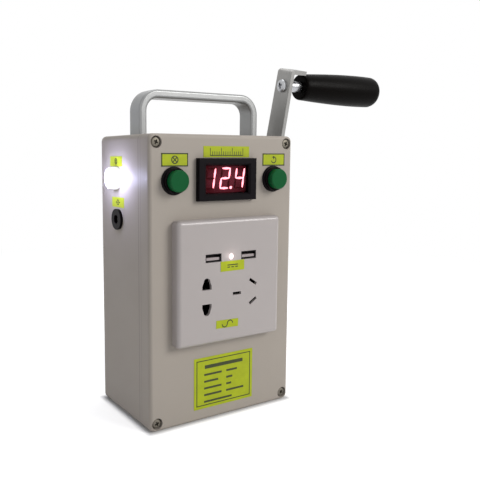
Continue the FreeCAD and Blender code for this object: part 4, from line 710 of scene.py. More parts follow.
class Workpiece:
    """A mesh on the bench, shaped round its own origin with its up side along +Z."""

    def __init__(self, item: bpy.types.Object) -> None:
        """Takes hold of an object."""
        self.item = item

    @classmethod
    def cylinder(cls, name: str, radius: float, depth: float, sides: int = 48) -> Workpiece:
        """A cylinder that stands on the origin's level.

        Args:
            name: The piece's name.
            radius: Its radius.
            depth: Its height.
            sides: How many sides its outline has.

        Returns:
            The new workpiece.
        """
        deselect_all()
        bpy.ops.mesh.primitive_cylinder_add(
            vertices=sides, radius=radius, depth=depth, location=(0, 0, depth / 2)
        )
        return cls._named(name)

    @classmethod
    def block(cls, name: str, size: tuple[float, float, float]) -> Workpiece:
        """A block that stands on the origin's level.

        Args:
            name: The piece's name.
            size: Its sides along X, Y and Z.

        Returns:
            The new workpiece.
        """
        deselect_all()
        bpy.ops.mesh.primitive_cube_add(size=1, location=(0, 0, size[2] / 2), scale=size)
        return cls._named(name)

    @classmethod
    def turned(
        cls, name: str, outline: Sequence[Point], steps: int = 64, sweep: float = 2 * math.pi
    ) -> Workpiece:
        """An outline drawn point by point and spun about Z.

        Args:
            name: The piece's name.
            outline: Radius and height of each corner; a closed ring repeats its first point at the end.
            steps: How many steps the spin takes.
            sweep: The angle it runs through.

        Returns:
            The new workpiece.
        """
        deselect_all()
        bpy.ops.mesh.primitive_plane_add(size=MM, location=(0, 0, 0))
        bpy.ops.object.mode_set(mode="EDIT")
        bpy.ops.mesh.select_mode(type="VERT")
        bpy.ops.mesh.select_all(action="SELECT")
        bpy.ops.mesh.merge(type="CENTER")
        here = Vector((0.0, 0.0, 0.0))
        for number, (radius, height) in enumerate(outline):
            there = Vector((radius, 0.0, height))
            if number == 0:
                bpy.ops.transform.translate(value=there - here)
            else:
                bpy.ops.mesh.extrude_vertices_move(TRANSFORM_OT_translate={"value": there - here})
            here = there
        bpy.ops.mesh.select_all(action="SELECT")
        bpy.ops.mesh.spin(steps=steps, angle=sweep, center=(0, 0, 0), axis=(0, 0, 1))
        piece = cls._named(name)
        piece.tidy()
        return piece

    @classmethod
    def coiled(cls, name: str, radius: float, wire: float, length: float, pitch: float) -> Workpiece:
        """A round wire that winds up from the origin's level.

        Args:
            name: The piece's name.
            radius: The coil's radius, to the wire's middle.
            wire: The wire's radius.
            length: The coil's length over all.
            pitch: The rise of one turn, which is fitted to whole turns.

        Returns:
            The new workpiece.
        """
        deselect_all()
        bpy.ops.mesh.primitive_circle_add(
            vertices=12, radius=wire, location=(radius, 0, wire), rotation=(math.radians(90), 0, 0)
        )
        piece = cls._named(name)
        rise = length - 2 * wire
        turns = round(rise / pitch)
        piece.change("SCREW", iterations=turns, screw_offset=rise / turns, steps=32, render_steps=32)
        piece.tidy()
        return piece

    @classmethod
    def _named(cls, name: str) -> Workpiece:
        """Names the object that was just added."""
        item = bpy.context.object
        if item.mode != "OBJECT":
            bpy.ops.object.mode_set(mode="OBJECT")
        item.name = name
        item.data.name = name
        bpy.ops.object.transform_apply(location=True, rotation=True, scale=True)
        return cls(item)

    def hold(self) -> None:
        """Makes this the only selected and active object."""
        deselect_all()
        self.item.select_set(True)
        bpy.context.view_layer.objects.active = self.item

    def tidy(self) -> None:
        """Merges doubled points, closes open ends and turns all faces outwards."""
        self.hold()
        bpy.ops.object.mode_set(mode="EDIT")
        bpy.ops.mesh.select_all(action="SELECT")
        bpy.ops.mesh.remove_doubles(threshold=0.0004 * MM)
        bpy.ops.mesh.select_all(action="SELECT")
        bpy.ops.mesh.fill_holes(sides=0)
        bpy.ops.mesh.select_all(action="SELECT")
        bpy.ops.mesh.normals_make_consistent(inside=False)
        bpy.ops.object.mode_set(mode="OBJECT")

    def pick(self, elements: str, wanted: Callable[[Any], bool]) -> None:
        """Opens edit mode with some of the faces or points selected.

        Args:
            elements: What is picked: polygons or vertices.
            wanted: Says of one of them whether it is picked.
        """
        self.hold()
        bpy.ops.object.mode_set(mode="EDIT")
        bpy.ops.mesh.select_mode(type="FACE" if elements == "polygons" else "VERT")
        bpy.ops.mesh.select_all(action="DESELECT")
        bpy.ops.object.mode_set(mode="OBJECT")
        for element in getattr(self.item.data, elements):
            element.select = wanted(element)
        bpy.ops.object.mode_set(mode="EDIT")

    def close(self) -> None:
        """Goes back to object mode."""
        bpy.ops.object.mode_set(mode="OBJECT")

    def change(self, kind: str, **settings: Any) -> None:
        """Puts a modifier on the piece and applies it.

        Args:
            kind: The modifier's type.
            **settings: Its settings by name.
        """
        self.hold()
        modifier = self.item.modifiers.new(kind.lower(), kind)
        for name, value in settings.items():
            setattr(modifier, name, value)
        bpy.ops.object.modifier_apply(modifier=modifier.name)

    def round_edges(self, width: float, segments: int = 2, angle: float = 30.0) -> None:
        """Rounds every edge that is sharper than an angle.

        Args:
            width: The rounding's width.
            segments: How many strips it has.
            angle: The sharpest edge left alone, in degrees.
        """
        self.change(
            "BEVEL", width=width, segments=segments, limit_method="ANGLE", angle_limit=math.radians(angle)
        )

    def combine(self, other: Workpiece, operation: str) -> None:
        """Cuts another workpiece out of this one, or keeps what both share.

        Args:
            other: The other workpiece, which is used up.
            operation: DIFFERENCE or INTERSECT.
        """
        self.change("BOOLEAN", operation=operation, solver="EXACT", object=other.item)
        bpy.data.objects.remove(other.item)

    def join(self, others: Sequence[Workpiece]) -> None:
        """Makes other workpieces part of this one."""
        self.hold()
        for other in others:
            other.item.select_set(True)
        if others:
            bpy.ops.object.join()

    def copy(self) -> Workpiece:
        """A second one with its own mesh."""
        item = self.item.copy()
        item.data = self.item.data.copy()
        bpy.context.scene.collection.objects.link(item)
        return Workpiece(item)

    def stand(self, place: Sequence[float], facing: Facing = Facing.UP, twist: float = 0.0) -> Workpiece:
        """Puts the piece on the object and applies its place to its mesh.

        Args:
            place: Where its origin goes.
            facing: Which way its up side looks.
            twist: A turn about its own axis, in degrees.

        Returns:
            This workpiece.
        """
        self.hold()
        spin = Matrix.Rotation(math.radians(twist), 4, "Z")
        self.item.matrix_world = Matrix.Translation(Vector(place)) @ _turn(facing) @ spin
        bpy.ops.object.transform_apply(location=True, rotation=True, scale=True)
        return self

    def repeat(self, places: Sequence[Sequence[float]], facing: Facing, twists: Sequence[float]) -> None:
        """Stands the piece and copies of it at several places, joined into one.

        Args:
            places: Where each one goes.
            facing: Which way they look.
            twists: Each one's turn about its own axis, in degrees.
        """
        copies = [self.copy() for _ in places[1:]]
        for piece, place, twist in zip([self, *copies], places, twists, strict=True):
            piece.stand(place, facing, twist)
        self.join(copies)

    def dress(
        self,
        material: bpy.types.Material,
        body: str,
        slot: str,
        replaces: Sequence[str] = (),
        smooth: float = 35.0,
    ) -> bpy.types.Object:
        """Gives the piece its finish and its body.

        Args:
            material: The finish.
            body: The body that it rides on.
            slot: The record's slot of its finish; not used.
            replaces: The nodes that it stands for.
            smooth: The sharpest edge that is shaded round, in degrees.

        Returns:
            The finished object.
        """
        self.hold()
        bpy.ops.object.shade_smooth_by_angle(angle=math.radians(smooth))
        self.item.data.materials.clear()
        self.item.data.materials.append(material)
        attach(self.item, body)
        if replaces:
            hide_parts(*replaces)
        log.info("piece %s rides on %s", self.item.name, body)
        return self.item


def _turn(facing: Facing) -> Matrix:
    """The rotation that a facing stands for."""
    tilt, _, swing = facing.value
    return Matrix.Rotation(swing, 4, "Z") @ Matrix.Rotation(tilt, 4, "X")


def arc(centre: Point, radius: float, start: float, end: float, steps: int = 6) -> list[Point]:
    """Points along a rounded corner.

    Args:
        centre: The corner's centre.
        radius: Its radius.
        start: The angle it starts at, in degrees.
        end: The angle it ends at.
        steps: How many steps it takes.

    Returns:
        The points, both ends included.
    """
    angles = (math.radians(start + (end - start) * step / steps) for step in range(steps + 1))
    return [(centre[0] + radius * math.cos(a), centre[1] + radius * math.sin(a)) for a in angles]


def middle_of(node: str) -> Vector:
    """The middle of a node's box at rest."""
    low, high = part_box(node)
    return (low + high) / 2


# Sub-assemblies


@dataclass
class Palette:
    """The materials by slot, made when first asked for."""

    made: dict[str, bpy.types.Material] = field(default_factory=dict)
    kinds: dict[str, Any] = field(default_factory=finishes)

    def of(self, slot: str) -> bpy.types.Material:
        """The material of a slot."""
        if slot not in self.made:
            self.made[slot] = self.kinds[slot].material()
        return self.made[slot]

    def special(self, finish: Any) -> bpy.types.Material:
        """A finish that no slot has."""
        if finish.name not in self.made:
            self.made[finish.name] = finish.material()
        return self.made[finish.name]


@dataclass
class Wardrobe:
    """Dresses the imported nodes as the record's slots say."""

    palette: Palette
    frame: dict[str, Any]

    def dress_nodes(self) -> None:
        """Gives every node the finish of its slot."""
        for part in self.frame["record"]["subparts"]:
            self.dress(part["node"], self.palette.of(part["material_slot"]))

    def dress(self, node: str, material: bpy.types.Material) -> None:
        """Gives one node a finish.

        Args:
            node: The node's name.
            material: The finish.
        """
        item = self.frame["nodes"][node]
        if not item.material_slots:
            item.data.materials.append(material)
        for slot in item.material_slots:
            slot.material = material
        log.info("node %s has %s", node, material.name)


@dataclass
class CrossHeadScrew:
    """A machine screw with a rounded head and a cross recess."""

    head_radius: float
    head_height: float
    shank_radius: float
    length: float
    cross: float = 0.66
    depth: float = 0.7
    blade: float = 0.3
    taper: tuple[float, float, float] = (0.45, 0.7, 1.0)

    def build(self, name: str) -> Workpiece:
        """Makes the screw with its head's top on the origin's level and its shank downwards.

        Args:
            name: The piece's name.

        Returns:
            The workpiece.
        """
        radius, height = self.head_radius, self.head_height
        edge = height * 0.45
        tip = self.shank_radius * 0.45
        outline = [
            (0.0, 0.0),
            (radius * 0.55, -height * 0.03),
            (radius * 0.82, -height * 0.14),
            *arc((radius - edge, -height * 0.2 - edge), edge, 70, 0, 4),
            (radius, -height),
            (self.shank_radius, -height),
            (self.shank_radius, -self.length + tip),
            (self.shank_radius - tip, -self.length),
            (0.0, -self.length),
        ]
        screw = Workpiece.turned(name, outline, 40)
        reach = radius * self.cross
        for twist in (0.0, 90.0):
            blade = Workpiece.block("blade", (2 * reach, 2 * reach * self.blade, 2 * height * self.depth))
            blade.pick("polygons", lambda face: face.normal.z < -0.9)
            bpy.ops.transform.resize(value=self.taper)
            blade.close()
            blade.stand((0.0, 0.0, -height * self.depth), twist=twist)
            screw.combine(blade, "DIFFERENCE")
        return screw


@dataclass
class CoverScrews:
    """Four cross-head screws at the bottom of the cover's round recesses."""

    head_radius: float = 3.4 * MM
    head_height: float = 2.4 * MM
    shank_radius: float = 1.75 * MM
    twists: tuple[float, ...] = (18.0, 52.0, -24.0, 70.0)

    def build(self, palette: Palette) -> None:
        """Makes one screw, copies it to the four corners and joins them.

        Args:
            palette: Where the finishes come from.
        """
        low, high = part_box("cover_screws")
        columns = (low.x + self.head_radius, high.x - self.head_radius)
        rows = (low.z + self.head_radius, high.z - self.head_radius)
        screw = CrossHeadScrew(self.head_radius, self.head_height, self.shank_radius, high.y - low.y)
        screws = screw.build("cover_screw_set")
        screws.repeat([(x, low.y, z) for z in rows for x in columns], Facing.FRONT, self.twists)
        screws.dress(palette.of("zinc_steel"), "case", "zinc_steel", ["cover_screws"])


@dataclass
class GearboxScrews:
    """Three cross-head screws that hold the gearbox to the right wall."""

    head_radius: float = 2.8 * MM
    head_height: float = 1.6 * MM
    shank_radius: float = 1.5 * MM
    twists: tuple[float, ...] = (25.0, 65.0, 105.0)

    def build(self, palette: Palette, places: Sequence[Point]) -> None:
        """Makes one screw, copies it to the other places and joins them.

        Args:
            palette: Where the finishes come from.
            places: Y and Z of each screw.
        """
        low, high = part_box("gearbox_screws")
        screw = CrossHeadScrew(self.head_radius, self.head_height, self.shank_radius, high.x - low.x)
        screws = screw.build("gearbox_screw_set")
        screws.repeat([(high.x, y, z) for y, z in places], Facing.RIGHT, self.twists)
        screws.dress(palette.of("zinc_steel"), "case", "zinc_steel", ["gearbox_screws"])


@dataclass
class ReturnSprings:
    """The coil springs behind the two caps, in place of their nodes."""

    travel: float = 3.0 * MM
    wire_radius: float = 0.35 * MM
    pitch: float = 1.9 * MM

    def build(self, palette: Palette) -> None:
        """Makes both springs, each with its inner end at rest.

        Args:
            palette: Where the finishes come from.
        """
        for side in ("left", "right"):
            node = f"button_{side}_spring"
            low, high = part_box(node)
            long = high.y - low.y
            radius = (high.x - low.x) / 2 - self.wire_radius
            spring = Workpiece.coiled(f"{side}_return_spring", radius, self.wire_radius, long, self.pitch)
            inner_end = (middle_of(node).x, high.y, middle_of(node).z)
            spring.stand(inner_end, Facing.FRONT)
            spring.dress(palette.of("spring_steel"), "case", "spring_steel", replaces=(node,))
            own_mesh(spring.item)


@dataclass
class GripSet:
    """The revolving grip, its spindle screw through the arm's end, and the nut on the crank shaft."""

    inner_radius: float = 9.8 * MM
    belly_radius: float = 12.4 * MM
    belly_at: float = 62.0 * MM
    outer_radius: float = 12.0 * MM
    inner_edge: float = 1.2 * MM
    outer_edge: float = 4.5 * MM
    bore_radius: float = 3.1 * MM
    recess_radius: float = 7.0 * MM
    recess_depth: float = 12.0 * MM
    head_radius: float = 4.8 * MM
    head_height: float = 2.6 * MM
    spindle_radius: float = 3.0 * MM
    shoulder_radius: float = 4.2 * MM
    shoulder_edge: float = 0.4 * MM
    arm_thickness: float = 3.0 * MM
    nut_bore: float = 3.02 * MM
    nut_chamfer: float = 0.09
    side_steps: int = 24

    def build(self, palette: Palette) -> None:
        """Makes the grip, its spindle and the crank's nut in place of their nodes.

        Args:
            palette: Where the finishes come from.
        """
        self.build_grip(palette)
        self.build_spindle(palette)
        self.build_nut(palette)

    def side(self, low: float, high: float, length: float) -> list[Point]:
        """The barrel's slow swell from the inner end to the belly and back in to the outer end.

        Args:
            low: Where it starts, from the inner end.
            high: Where it ends.
            length: The grip's length.

        Returns:
            Radius and height of each point.
        """
        points = []
        for step in range(self.side_steps + 1):
            at = low + (high - low) * step / self.side_steps
            if at <= self.belly_at:
                share = math.sin(math.pi / 2 * at / self.belly_at)
                radius = self.inner_radius + (self.belly_radius - self.inner_radius) * share
            else:
                share = (at - self.belly_at) / (length - self.belly_at)
                radius = self.belly_radius - (self.belly_radius - self.outer_radius) * share**2
            points.append((radius, at))
        return points

    def build_grip(self, palette: Palette) -> None:
        """Spins the grip's profile, with its bore and the recess for its cap."""
        low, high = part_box("grip")
        length = high.x - low.x
        outer_start = length - self.outer_edge
        outline = [
            (self.bore_radius, 0.0),
            *arc((self.inner_radius - self.inner_edge, self.inner_edge), self.inner_edge, -90, -10, 5),
            *self.side(self.inner_edge, outer_start, length),
            *arc((self.outer_radius - self.outer_edge, outer_start), self.outer_edge, 8, 90, 8),
            (self.recess_radius, length),
            (self.recess_radius, length - self.recess_depth),
            (self.bore_radius, length - self.recess_depth),
            (self.bore_radius, 0.0),
        ]
        grip = Workpiece.turned("grip_barrel", outline, 96)
        grip.stand((low.x, *middle_of("grip").yz), Facing.RIGHT)
        grip.dress(palette.of("grip_plastic"), "grip", "grip_plastic", ["grip"])

    def build_spindle(self, palette: Palette) -> None:
        """Makes the spindle with a cross recess in its head and a shoulder between arm and grip."""
        low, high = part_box("grip_spindle")
        grip_low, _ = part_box("grip")
        length = high.x - low.x
        head = CrossHeadScrew(self.head_radius, self.head_height, self.spindle_radius, length, cross=0.68)
        spindle = head.build("grip_spindle_screw")
        shoulder_start = self.head_height + self.arm_thickness
        shoulder_end = grip_low.x - low.x
        inside, outside = self.spindle_radius * 0.98, self.shoulder_radius
        edge = self.shoulder_edge
        shoulder = Workpiece.turned(
            "shoulder",
            [
                (inside, -shoulder_start),
                (outside - edge, -shoulder_start),
                (outside, -shoulder_start - edge),
                (outside, -shoulder_end + edge),
                (outside - edge, -shoulder_end),
                (inside, -shoulder_end),
                (inside, -shoulder_start),
            ],
            48,
        )
        spindle.join([shoulder])
        spindle.stand((low.x, *middle_of("grip_spindle").yz), Facing.LEFT, 12.0)
        spindle.dress(palette.of("ground_steel"), "crank", "ground_steel", ["grip_spindle"])

    def build_nut(self, palette: Palette) -> None:
        """Makes the crank's hexagon nut with chamfered corners."""
        low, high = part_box("crank_nut")
        flats, thick = high.z - low.z, high.x - low.x
        rim, chamfer = flats / 2 / math.cos(math.pi / 6), self.nut_chamfer * flats
        nut = Workpiece.cylinder("crank_hexagon_nut", rim, thick, 6)
        lens = Workpiece.turned(
            "lens",
            [
                (0.0, 0.0),
                (flats / 2, 0.0),
                (rim, chamfer / 2),
                (rim, thick - chamfer / 2),
                (flats / 2, thick),
                (0.0, thick),
            ],
            48,
        )
        nut.combine(lens, "INTERSECT")
        _, shaft_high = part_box("crank_shaft")
        bore = Workpiece.cylinder("bore", self.nut_bore, 3 * thick, 40)
        bore.stand((0.0, 0.0, -thick))
        nut.combine(bore, "DIFFERENCE")
        nut.stand((low.x, *middle_of("crank_nut").yz), Facing.RIGHT)
        nut.dress(palette.of("zinc_steel"), "crank", "zinc_steel", ["crank_nut"], 20.0)
        log.info("crank shaft ends %.1f mm beyond its nut", (shaft_high.x - high.x) / MM)


class Bar(Enum):
    """The seven bars of a figure: centre across and up in half widths and half heights, and if it lies flat."""

    TOP = (0.0, 1.0, True)
    TOP_RIGHT = (1.0, 0.5, False)
    LOW_RIGHT = (1.0, -0.5, False)
    BOTTOM = (0.0, -1.0, True)
    LOW_LEFT = (-1.0, -0.5, False)
    TOP_LEFT = (-1.0, 0.5, False)
    MIDDLE = (0.0, 0.0, True)


FIGURES: dict[str, tuple[Bar, ...]] = {
    "1": (Bar.TOP_RIGHT, Bar.LOW_RIGHT),
    "2": (Bar.TOP, Bar.TOP_RIGHT, Bar.MIDDLE, Bar.LOW_LEFT, Bar.BOTTOM),
    "4": (Bar.TOP_LEFT, Bar.MIDDLE, Bar.TOP_RIGHT, Bar.LOW_RIGHT),
}


@dataclass
class MeterFigures:
    """Three slanted seven-bar figures and a point, between the display's face and the pane."""

    reading: str = "124"
    pitch: float = 12.3 * MM
    height: float = 15.0 * MM
    width: float = 8.0 * MM
    bar: float = 1.4 * MM
    flat_gap: float = 0.95
    upright_gap: float = 0.6
    thickness: float = 0.25 * MM
    slant: float = 8.0
    across: float = -0.6 * MM
    rise: float = 0.7 * MM
    point: Point = (5.7 * MM, -6.5 * MM)

    def build(self, palette: Palette) -> None:
        """Makes the lit and the unlit bars.

        Args:
            palette: Where the finishes come from.
        """
        low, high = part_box("meter_display")
        centre = ((low.x + high.x) / 2 + self.across, low.y, (low.z + high.z) / 2 + self.rise)
        lit: list[Workpiece] = []
        dark: list[Workpiece] = []
        for number, figure in enumerate(self.reading):
            for bar in Bar:
                piece = self.one_bar(bar)
                shift = (number - (len(self.reading) - 1) / 2) * self.pitch
                self.lean(piece, shift)
                (lit if bar in FIGURES[figure] else dark).append(piece)
        point = Workpiece.cylinder("point", self.bar * 0.72, self.thickness, 24)
        self.lean(point, *self.point)
        lit.append(point)
        for name, pieces, finish in (
            ("meter_figures_lit", lit, LitLens("figure_glow", (1.0, 0.66, 0.68, 1.0), 4.5)),
            ("meter_figures_dark", dark, MouldedPlastic("figure_unlit", screen_colour(46, 14, 20), 0.4)),
        ):
            first, *rest = pieces
            first.join(rest)
            first.item.name = name
            first.round_edges(0.08 * MM, 2)
            first.stand(centre, Facing.FRONT)
            first.dress(palette.special(finish), "case", "display_plastic")

    def one_bar(self, bar: Bar) -> Workpiece:
        """A six-sided bar with pointed ends, at its place in an upright figure."""
        across, up, flat = bar.value
        if flat:
            long = self.width - self.flat_gap * self.bar
        else:
            long = self.height / 2 - self.upright_gap * self.bar
        piece = Workpiece.cylinder("bar", self.bar / 2 / math.cos(math.pi / 6), self.thickness, 6)
        piece.stand((0, 0, 0), twist=0.0 if flat else 90.0)
        axis = 0 if flat else 1
        for way in (-1, 1):
            piece.pick("vertices", lambda point, way=way: point.co[axis] * way > 0.0001 * MM)
            push = [0.0, 0.0, 0.0]
            push[axis] = way * (long - self.bar) / 2
            bpy.ops.transform.translate(value=push)
            piece.close()
        half_width = (self.width - self.bar) / 2
        half_height = (self.height - self.bar) / 2
        piece.stand((across * half_width, up * half_height, 0.0))
        return piece

    def lean(self, piece: Workpiece, across: float, up: float = 0.0) -> None:
        """Slants a bar with its figure and moves it across.

        Args:
            piece: The bar.
            across: How far it moves to the right.
            up: How far it moves up.
        """
        lean = Matrix.Identity(4)
        lean[0][1] = math.tan(math.radians(self.slant))
        piece.item.data.transform(Matrix.Translation((0.0, up, 0.0)))
        piece.item.data.transform(lean)
        piece.item.data.transform(Matrix.Translation((across, 0.0, 0.0)))


@dataclass
class PrintedMarks:
    """Frames, plain symbols and ruled lines printed on the stickers, each a thin raised shape."""

    thickness: float = 0.03 * MM
    line: float = 0.75 * MM
    made: list[Workpiece] = field(default_factory=list)
    face: tuple[Sequence[float], Facing, float] = ((0, 0, 0), Facing.FRONT, 0.0)

    def on(self, centre: Sequence[float], facing: Facing, twist: float = 0.0) -> None:
        """Chooses the sticker that the next marks go on.

        Args:
            centre: The middle of its face.
            facing: Which way it looks.
            twist: Its tilt, in degrees.
        """
        self.face = (centre, facing, twist)

    def lay(self, piece: Workpiece, across: float, up: float, twist: float = 0.0) -> None:
        """Puts one mark on the sticker."""
        piece.stand((across, up, 0.0), twist=twist)
        centre, facing, tilt = self.face
        piece.stand(centre, facing, tilt)
        self.made.append(piece)

    def bar(self, across: float, up: float, length: float, width: float, twist: float = 0.0) -> None:
        """A straight line with softened corners."""
        piece = Workpiece.block("mark", (length, width, self.thickness))
        piece.round_edges(min(width, length) * 0.2, 1, 60)
        self.lay(piece, across, up, twist)

    def ring(
        self, across: float, up: float, radius: float, width: float, start: float = 0.0, sweep: float = 360.0
    ) -> None:
        """A ring, or a part of one."""
        inner, outer = radius - width / 2, radius + width / 2
        top = self.thickness
        outline = [(inner, 0.0), (outer, 0.0), (outer, top), (inner, top), (inner, 0.0)]
        piece = Workpiece.turned("mark", outline, max(8, round(sweep / 12)), math.radians(sweep))
        self.lay(piece, across, up, start)

    def dot(self, across: float, up: float, radius: float) -> None:
        """A round spot."""
        piece = Workpiece.cylinder("mark", radius, self.thickness, 20)
        piece.round_edges(self.thickness * 0.4, 1, 60)
        self.lay(piece, across, up)

    def frame(self, width: float, height: float, line: float) -> None:
        """A border just inside a sticker's edge."""
        for way in (-1, 1):
            self.bar(0.0, way * (height - line) / 2, width, line)
            self.bar(way * (width - line) / 2, 0.0, line, height)

    def lamp(self, across: float, up: float, radius: float) -> None:
        """The sign for a lamp: a ring with a cross in it."""
        self.ring(across, up, radius, self.line)
        for twist in (45.0, -45.0):
            self.bar(across, up, 1.9 * radius, self.line, twist)

    def power(self, across: float, up: float, radius: float) -> None:
        """The sign for on and off: a broken ring and a stroke."""
        self.ring(across, up, radius, self.line, 125.0, 290.0)
        self.bar(across, up + 0.75 * radius, self.line, 1.1 * radius)

    def direct(self, across: float, up: float, width: float) -> None:
        """The sign for direct current: a line over three dashes."""
        self.bar(across, up + self.line, width, self.line)
        for step in (-1, 0, 1):
            self.bar(across + step * width * 0.37, up - self.line, width * 0.24, self.line)

    def alternating(self, across: float, up: float, radius: float) -> None:
        """The sign for alternating current: one wave."""
        self.ring(across - radius, up, radius, self.line, 0.0, 180.0)
        self.ring(across + radius, up, radius, self.line, 180.0, 180.0)

    def ticks(self, width: float, height: float, count: int) -> None:
        """A plain measuring scale: a line with long and short ticks."""
        self.bar(0.0, -height / 2, width, self.line * 0.8)
        for number in range(count):
            tall = height if number % 5 == 0 else height * 0.55
            across = (number / (count - 1) - 0.5) * (width - self.line * 0.7)
            self.bar(across, -height / 2 + tall / 2, self.line * 0.7, tall)

    def polarity(self, across: float, up: float, radius: float) -> None:
        """The sign for a round plug: a ring, its centre and a stroke to each side."""
        self.ring(across, up, radius, self.line)
        self.dot(across, up, radius * 0.38)
        for way in (-1, 1):
            self.bar(across + way * (radius + 1.0 * MM), up, 1.6 * MM, self.line)

    def finish(self, palette: Palette) -> None:
        """Joins the marks and gives them their ink."""
        first, *rest = self.made
        first.join(rest)
        first.item.name = "sticker_marks"
        ink = MouldedPlastic("sticker_ink", screen_colour(48, 56, 14), 0.55, 0.2 * MM, 0.004 * MM, 0.15)
        first.dress(palette.special(ink), "case", "sticker")


@dataclass
class Stickers:
    """Where the stickers are, worked out from the pieces that they name, and what is printed on each."""

    thickness: float = 0.2 * MM
    shift: float = 0.9 * MM
    button_rise: float = 13.8 * MM
    button_size: Point = (20.4 * MM, 8.8 * MM)
    button_border: float = 0.8 * MM
    meter_rise: float = 18.8 * MM
    outlet_rise: float = 10.2 * MM
    mains_across: float = -3.2 * MM
    mains_drop: float = 30.2 * MM
    mains_tilt: float = -1.5
    rating_size: Point = (50.8 * MM, 37.0 * MM)
    rating_height: float = 26.9 * MM
    lamp_rise: float = 11.8 * MM
    jack_rise: float = 12.0 * MM

    def build(self, palette: Palette) -> None:
        """Prints every sticker.

        Args:
            palette: Where the finishes come from.
        """
        marks = PrintedMarks()
        cover_low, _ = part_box("front_cover")
        plate_low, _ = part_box("socket_faceplate")
        shell_low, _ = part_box("case_shell")
        front = cover_low.y - self.thickness
        plate = plate_low.y - self.thickness
        wall = shell_low.x - self.thickness
        left, right = middle_of("button_left_cap"), middle_of("button_right_cap")
        switch_height = left.z + self.button_rise
        meter_height = middle_of("meter_bezel").z + self.meter_rise
        outlet_height = middle_of("socket_faceplate").z

        marks.on((left.x + self.shift, front, switch_height), Facing.FRONT)
        marks.frame(*self.button_size, self.button_border)
        marks.lamp(0.0, 0.0, 2.4 * MM)
        marks.on((right.x + self.shift, front, switch_height), Facing.FRONT)
        marks.frame(*self.button_size, self.button_border)
        marks.power(0.0, -0.2 * MM, 2.1 * MM)
        marks.on((self.shift, front, meter_height), Facing.FRONT)
        marks.ticks(28.0 * MM, 5.0 * MM, 16)
        marks.on((self.shift, plate, outlet_height + self.outlet_rise), Facing.FRONT)
        marks.direct(0.0, 0.0, 9.0 * MM)
        marks.on((self.mains_across, plate, outlet_height - self.mains_drop), Facing.FRONT, self.mains_tilt)
        marks.alternating(0.0, 0.0, 2.2 * MM)
        marks.on((0.0, front, self.rating_height), Facing.FRONT)
        self.rating(marks)
        self.side(marks, wall)
        marks.finish(palette)

    def side(self, marks: PrintedMarks, wall: float) -> None:
        """Prints the two stickers of the left wall.

        Args:
            marks: The printer.
            wall: Where the stickers' faces are.
        """
        lamp, jack = middle_of("lamp_bezel"), middle_of("charge_jack_body")
        marks.on((wall, lamp.y, lamp.z + self.lamp_rise), Facing.LEFT)
        marks.lamp(0.0, 0.0, 1.9 * MM)
        marks.on((wall, jack.y, jack.z + self.jack_rise), Facing.LEFT)
        marks.polarity(0.0, 0.0, 1.7 * MM)

    def rating(self, marks: PrintedMarks) -> None:
        """Rules the large sticker: a border, a broad heading line and five rows in two columns.

        Args:
            marks: The printer.
        """
        width, height = self.rating_size
        marks.frame(width - 4.0 * MM, height - 4.0 * MM, 0.7 * MM)
        marks.bar(0.0, 11.4 * MM, 33.0 * MM, 2.6 * MM)
        rows = ((15.0, 9.5), (12.0, 5.5), (15.0, 4.5), (15.0, 15.5), (24.0, 0.0))
        for number, (first, second) in enumerate(rows):
            up = (5.8 - 4.9 * number) * MM
            marks.bar((-17.0 + first / 2) * MM, up, first * MM, 1.5 * MM)
            if second:
                marks.bar((2.0 + second / 2) * MM, up, second * MM, 1.5 * MM)


# Studio


def looking_ray(tree: bpy.types.NodeTree) -> bpy.types.NodeSocket:
    """Tells the rays that show the background from those that light the object.

    Args:
        tree: The node tree of the floor or the world.

    Returns:
        An output that is one for a ray from the camera, a mirror or glass, and zero for any other.
    """
    path = tree.nodes.new("ShaderNodeLightPath")
    looking = path.outputs["Is Camera Ray"]
    for kind in ("Is Glossy Ray", "Is Transmission Ray"):
        either = tree.nodes.new("ShaderNodeMath")
        either.operation = "MAXIMUM"
        tree.links.new(looking, either.inputs[0])
        tree.links.new(path.outputs[kind], either.inputs[1])
        looking = either.outputs[0]
    return looking


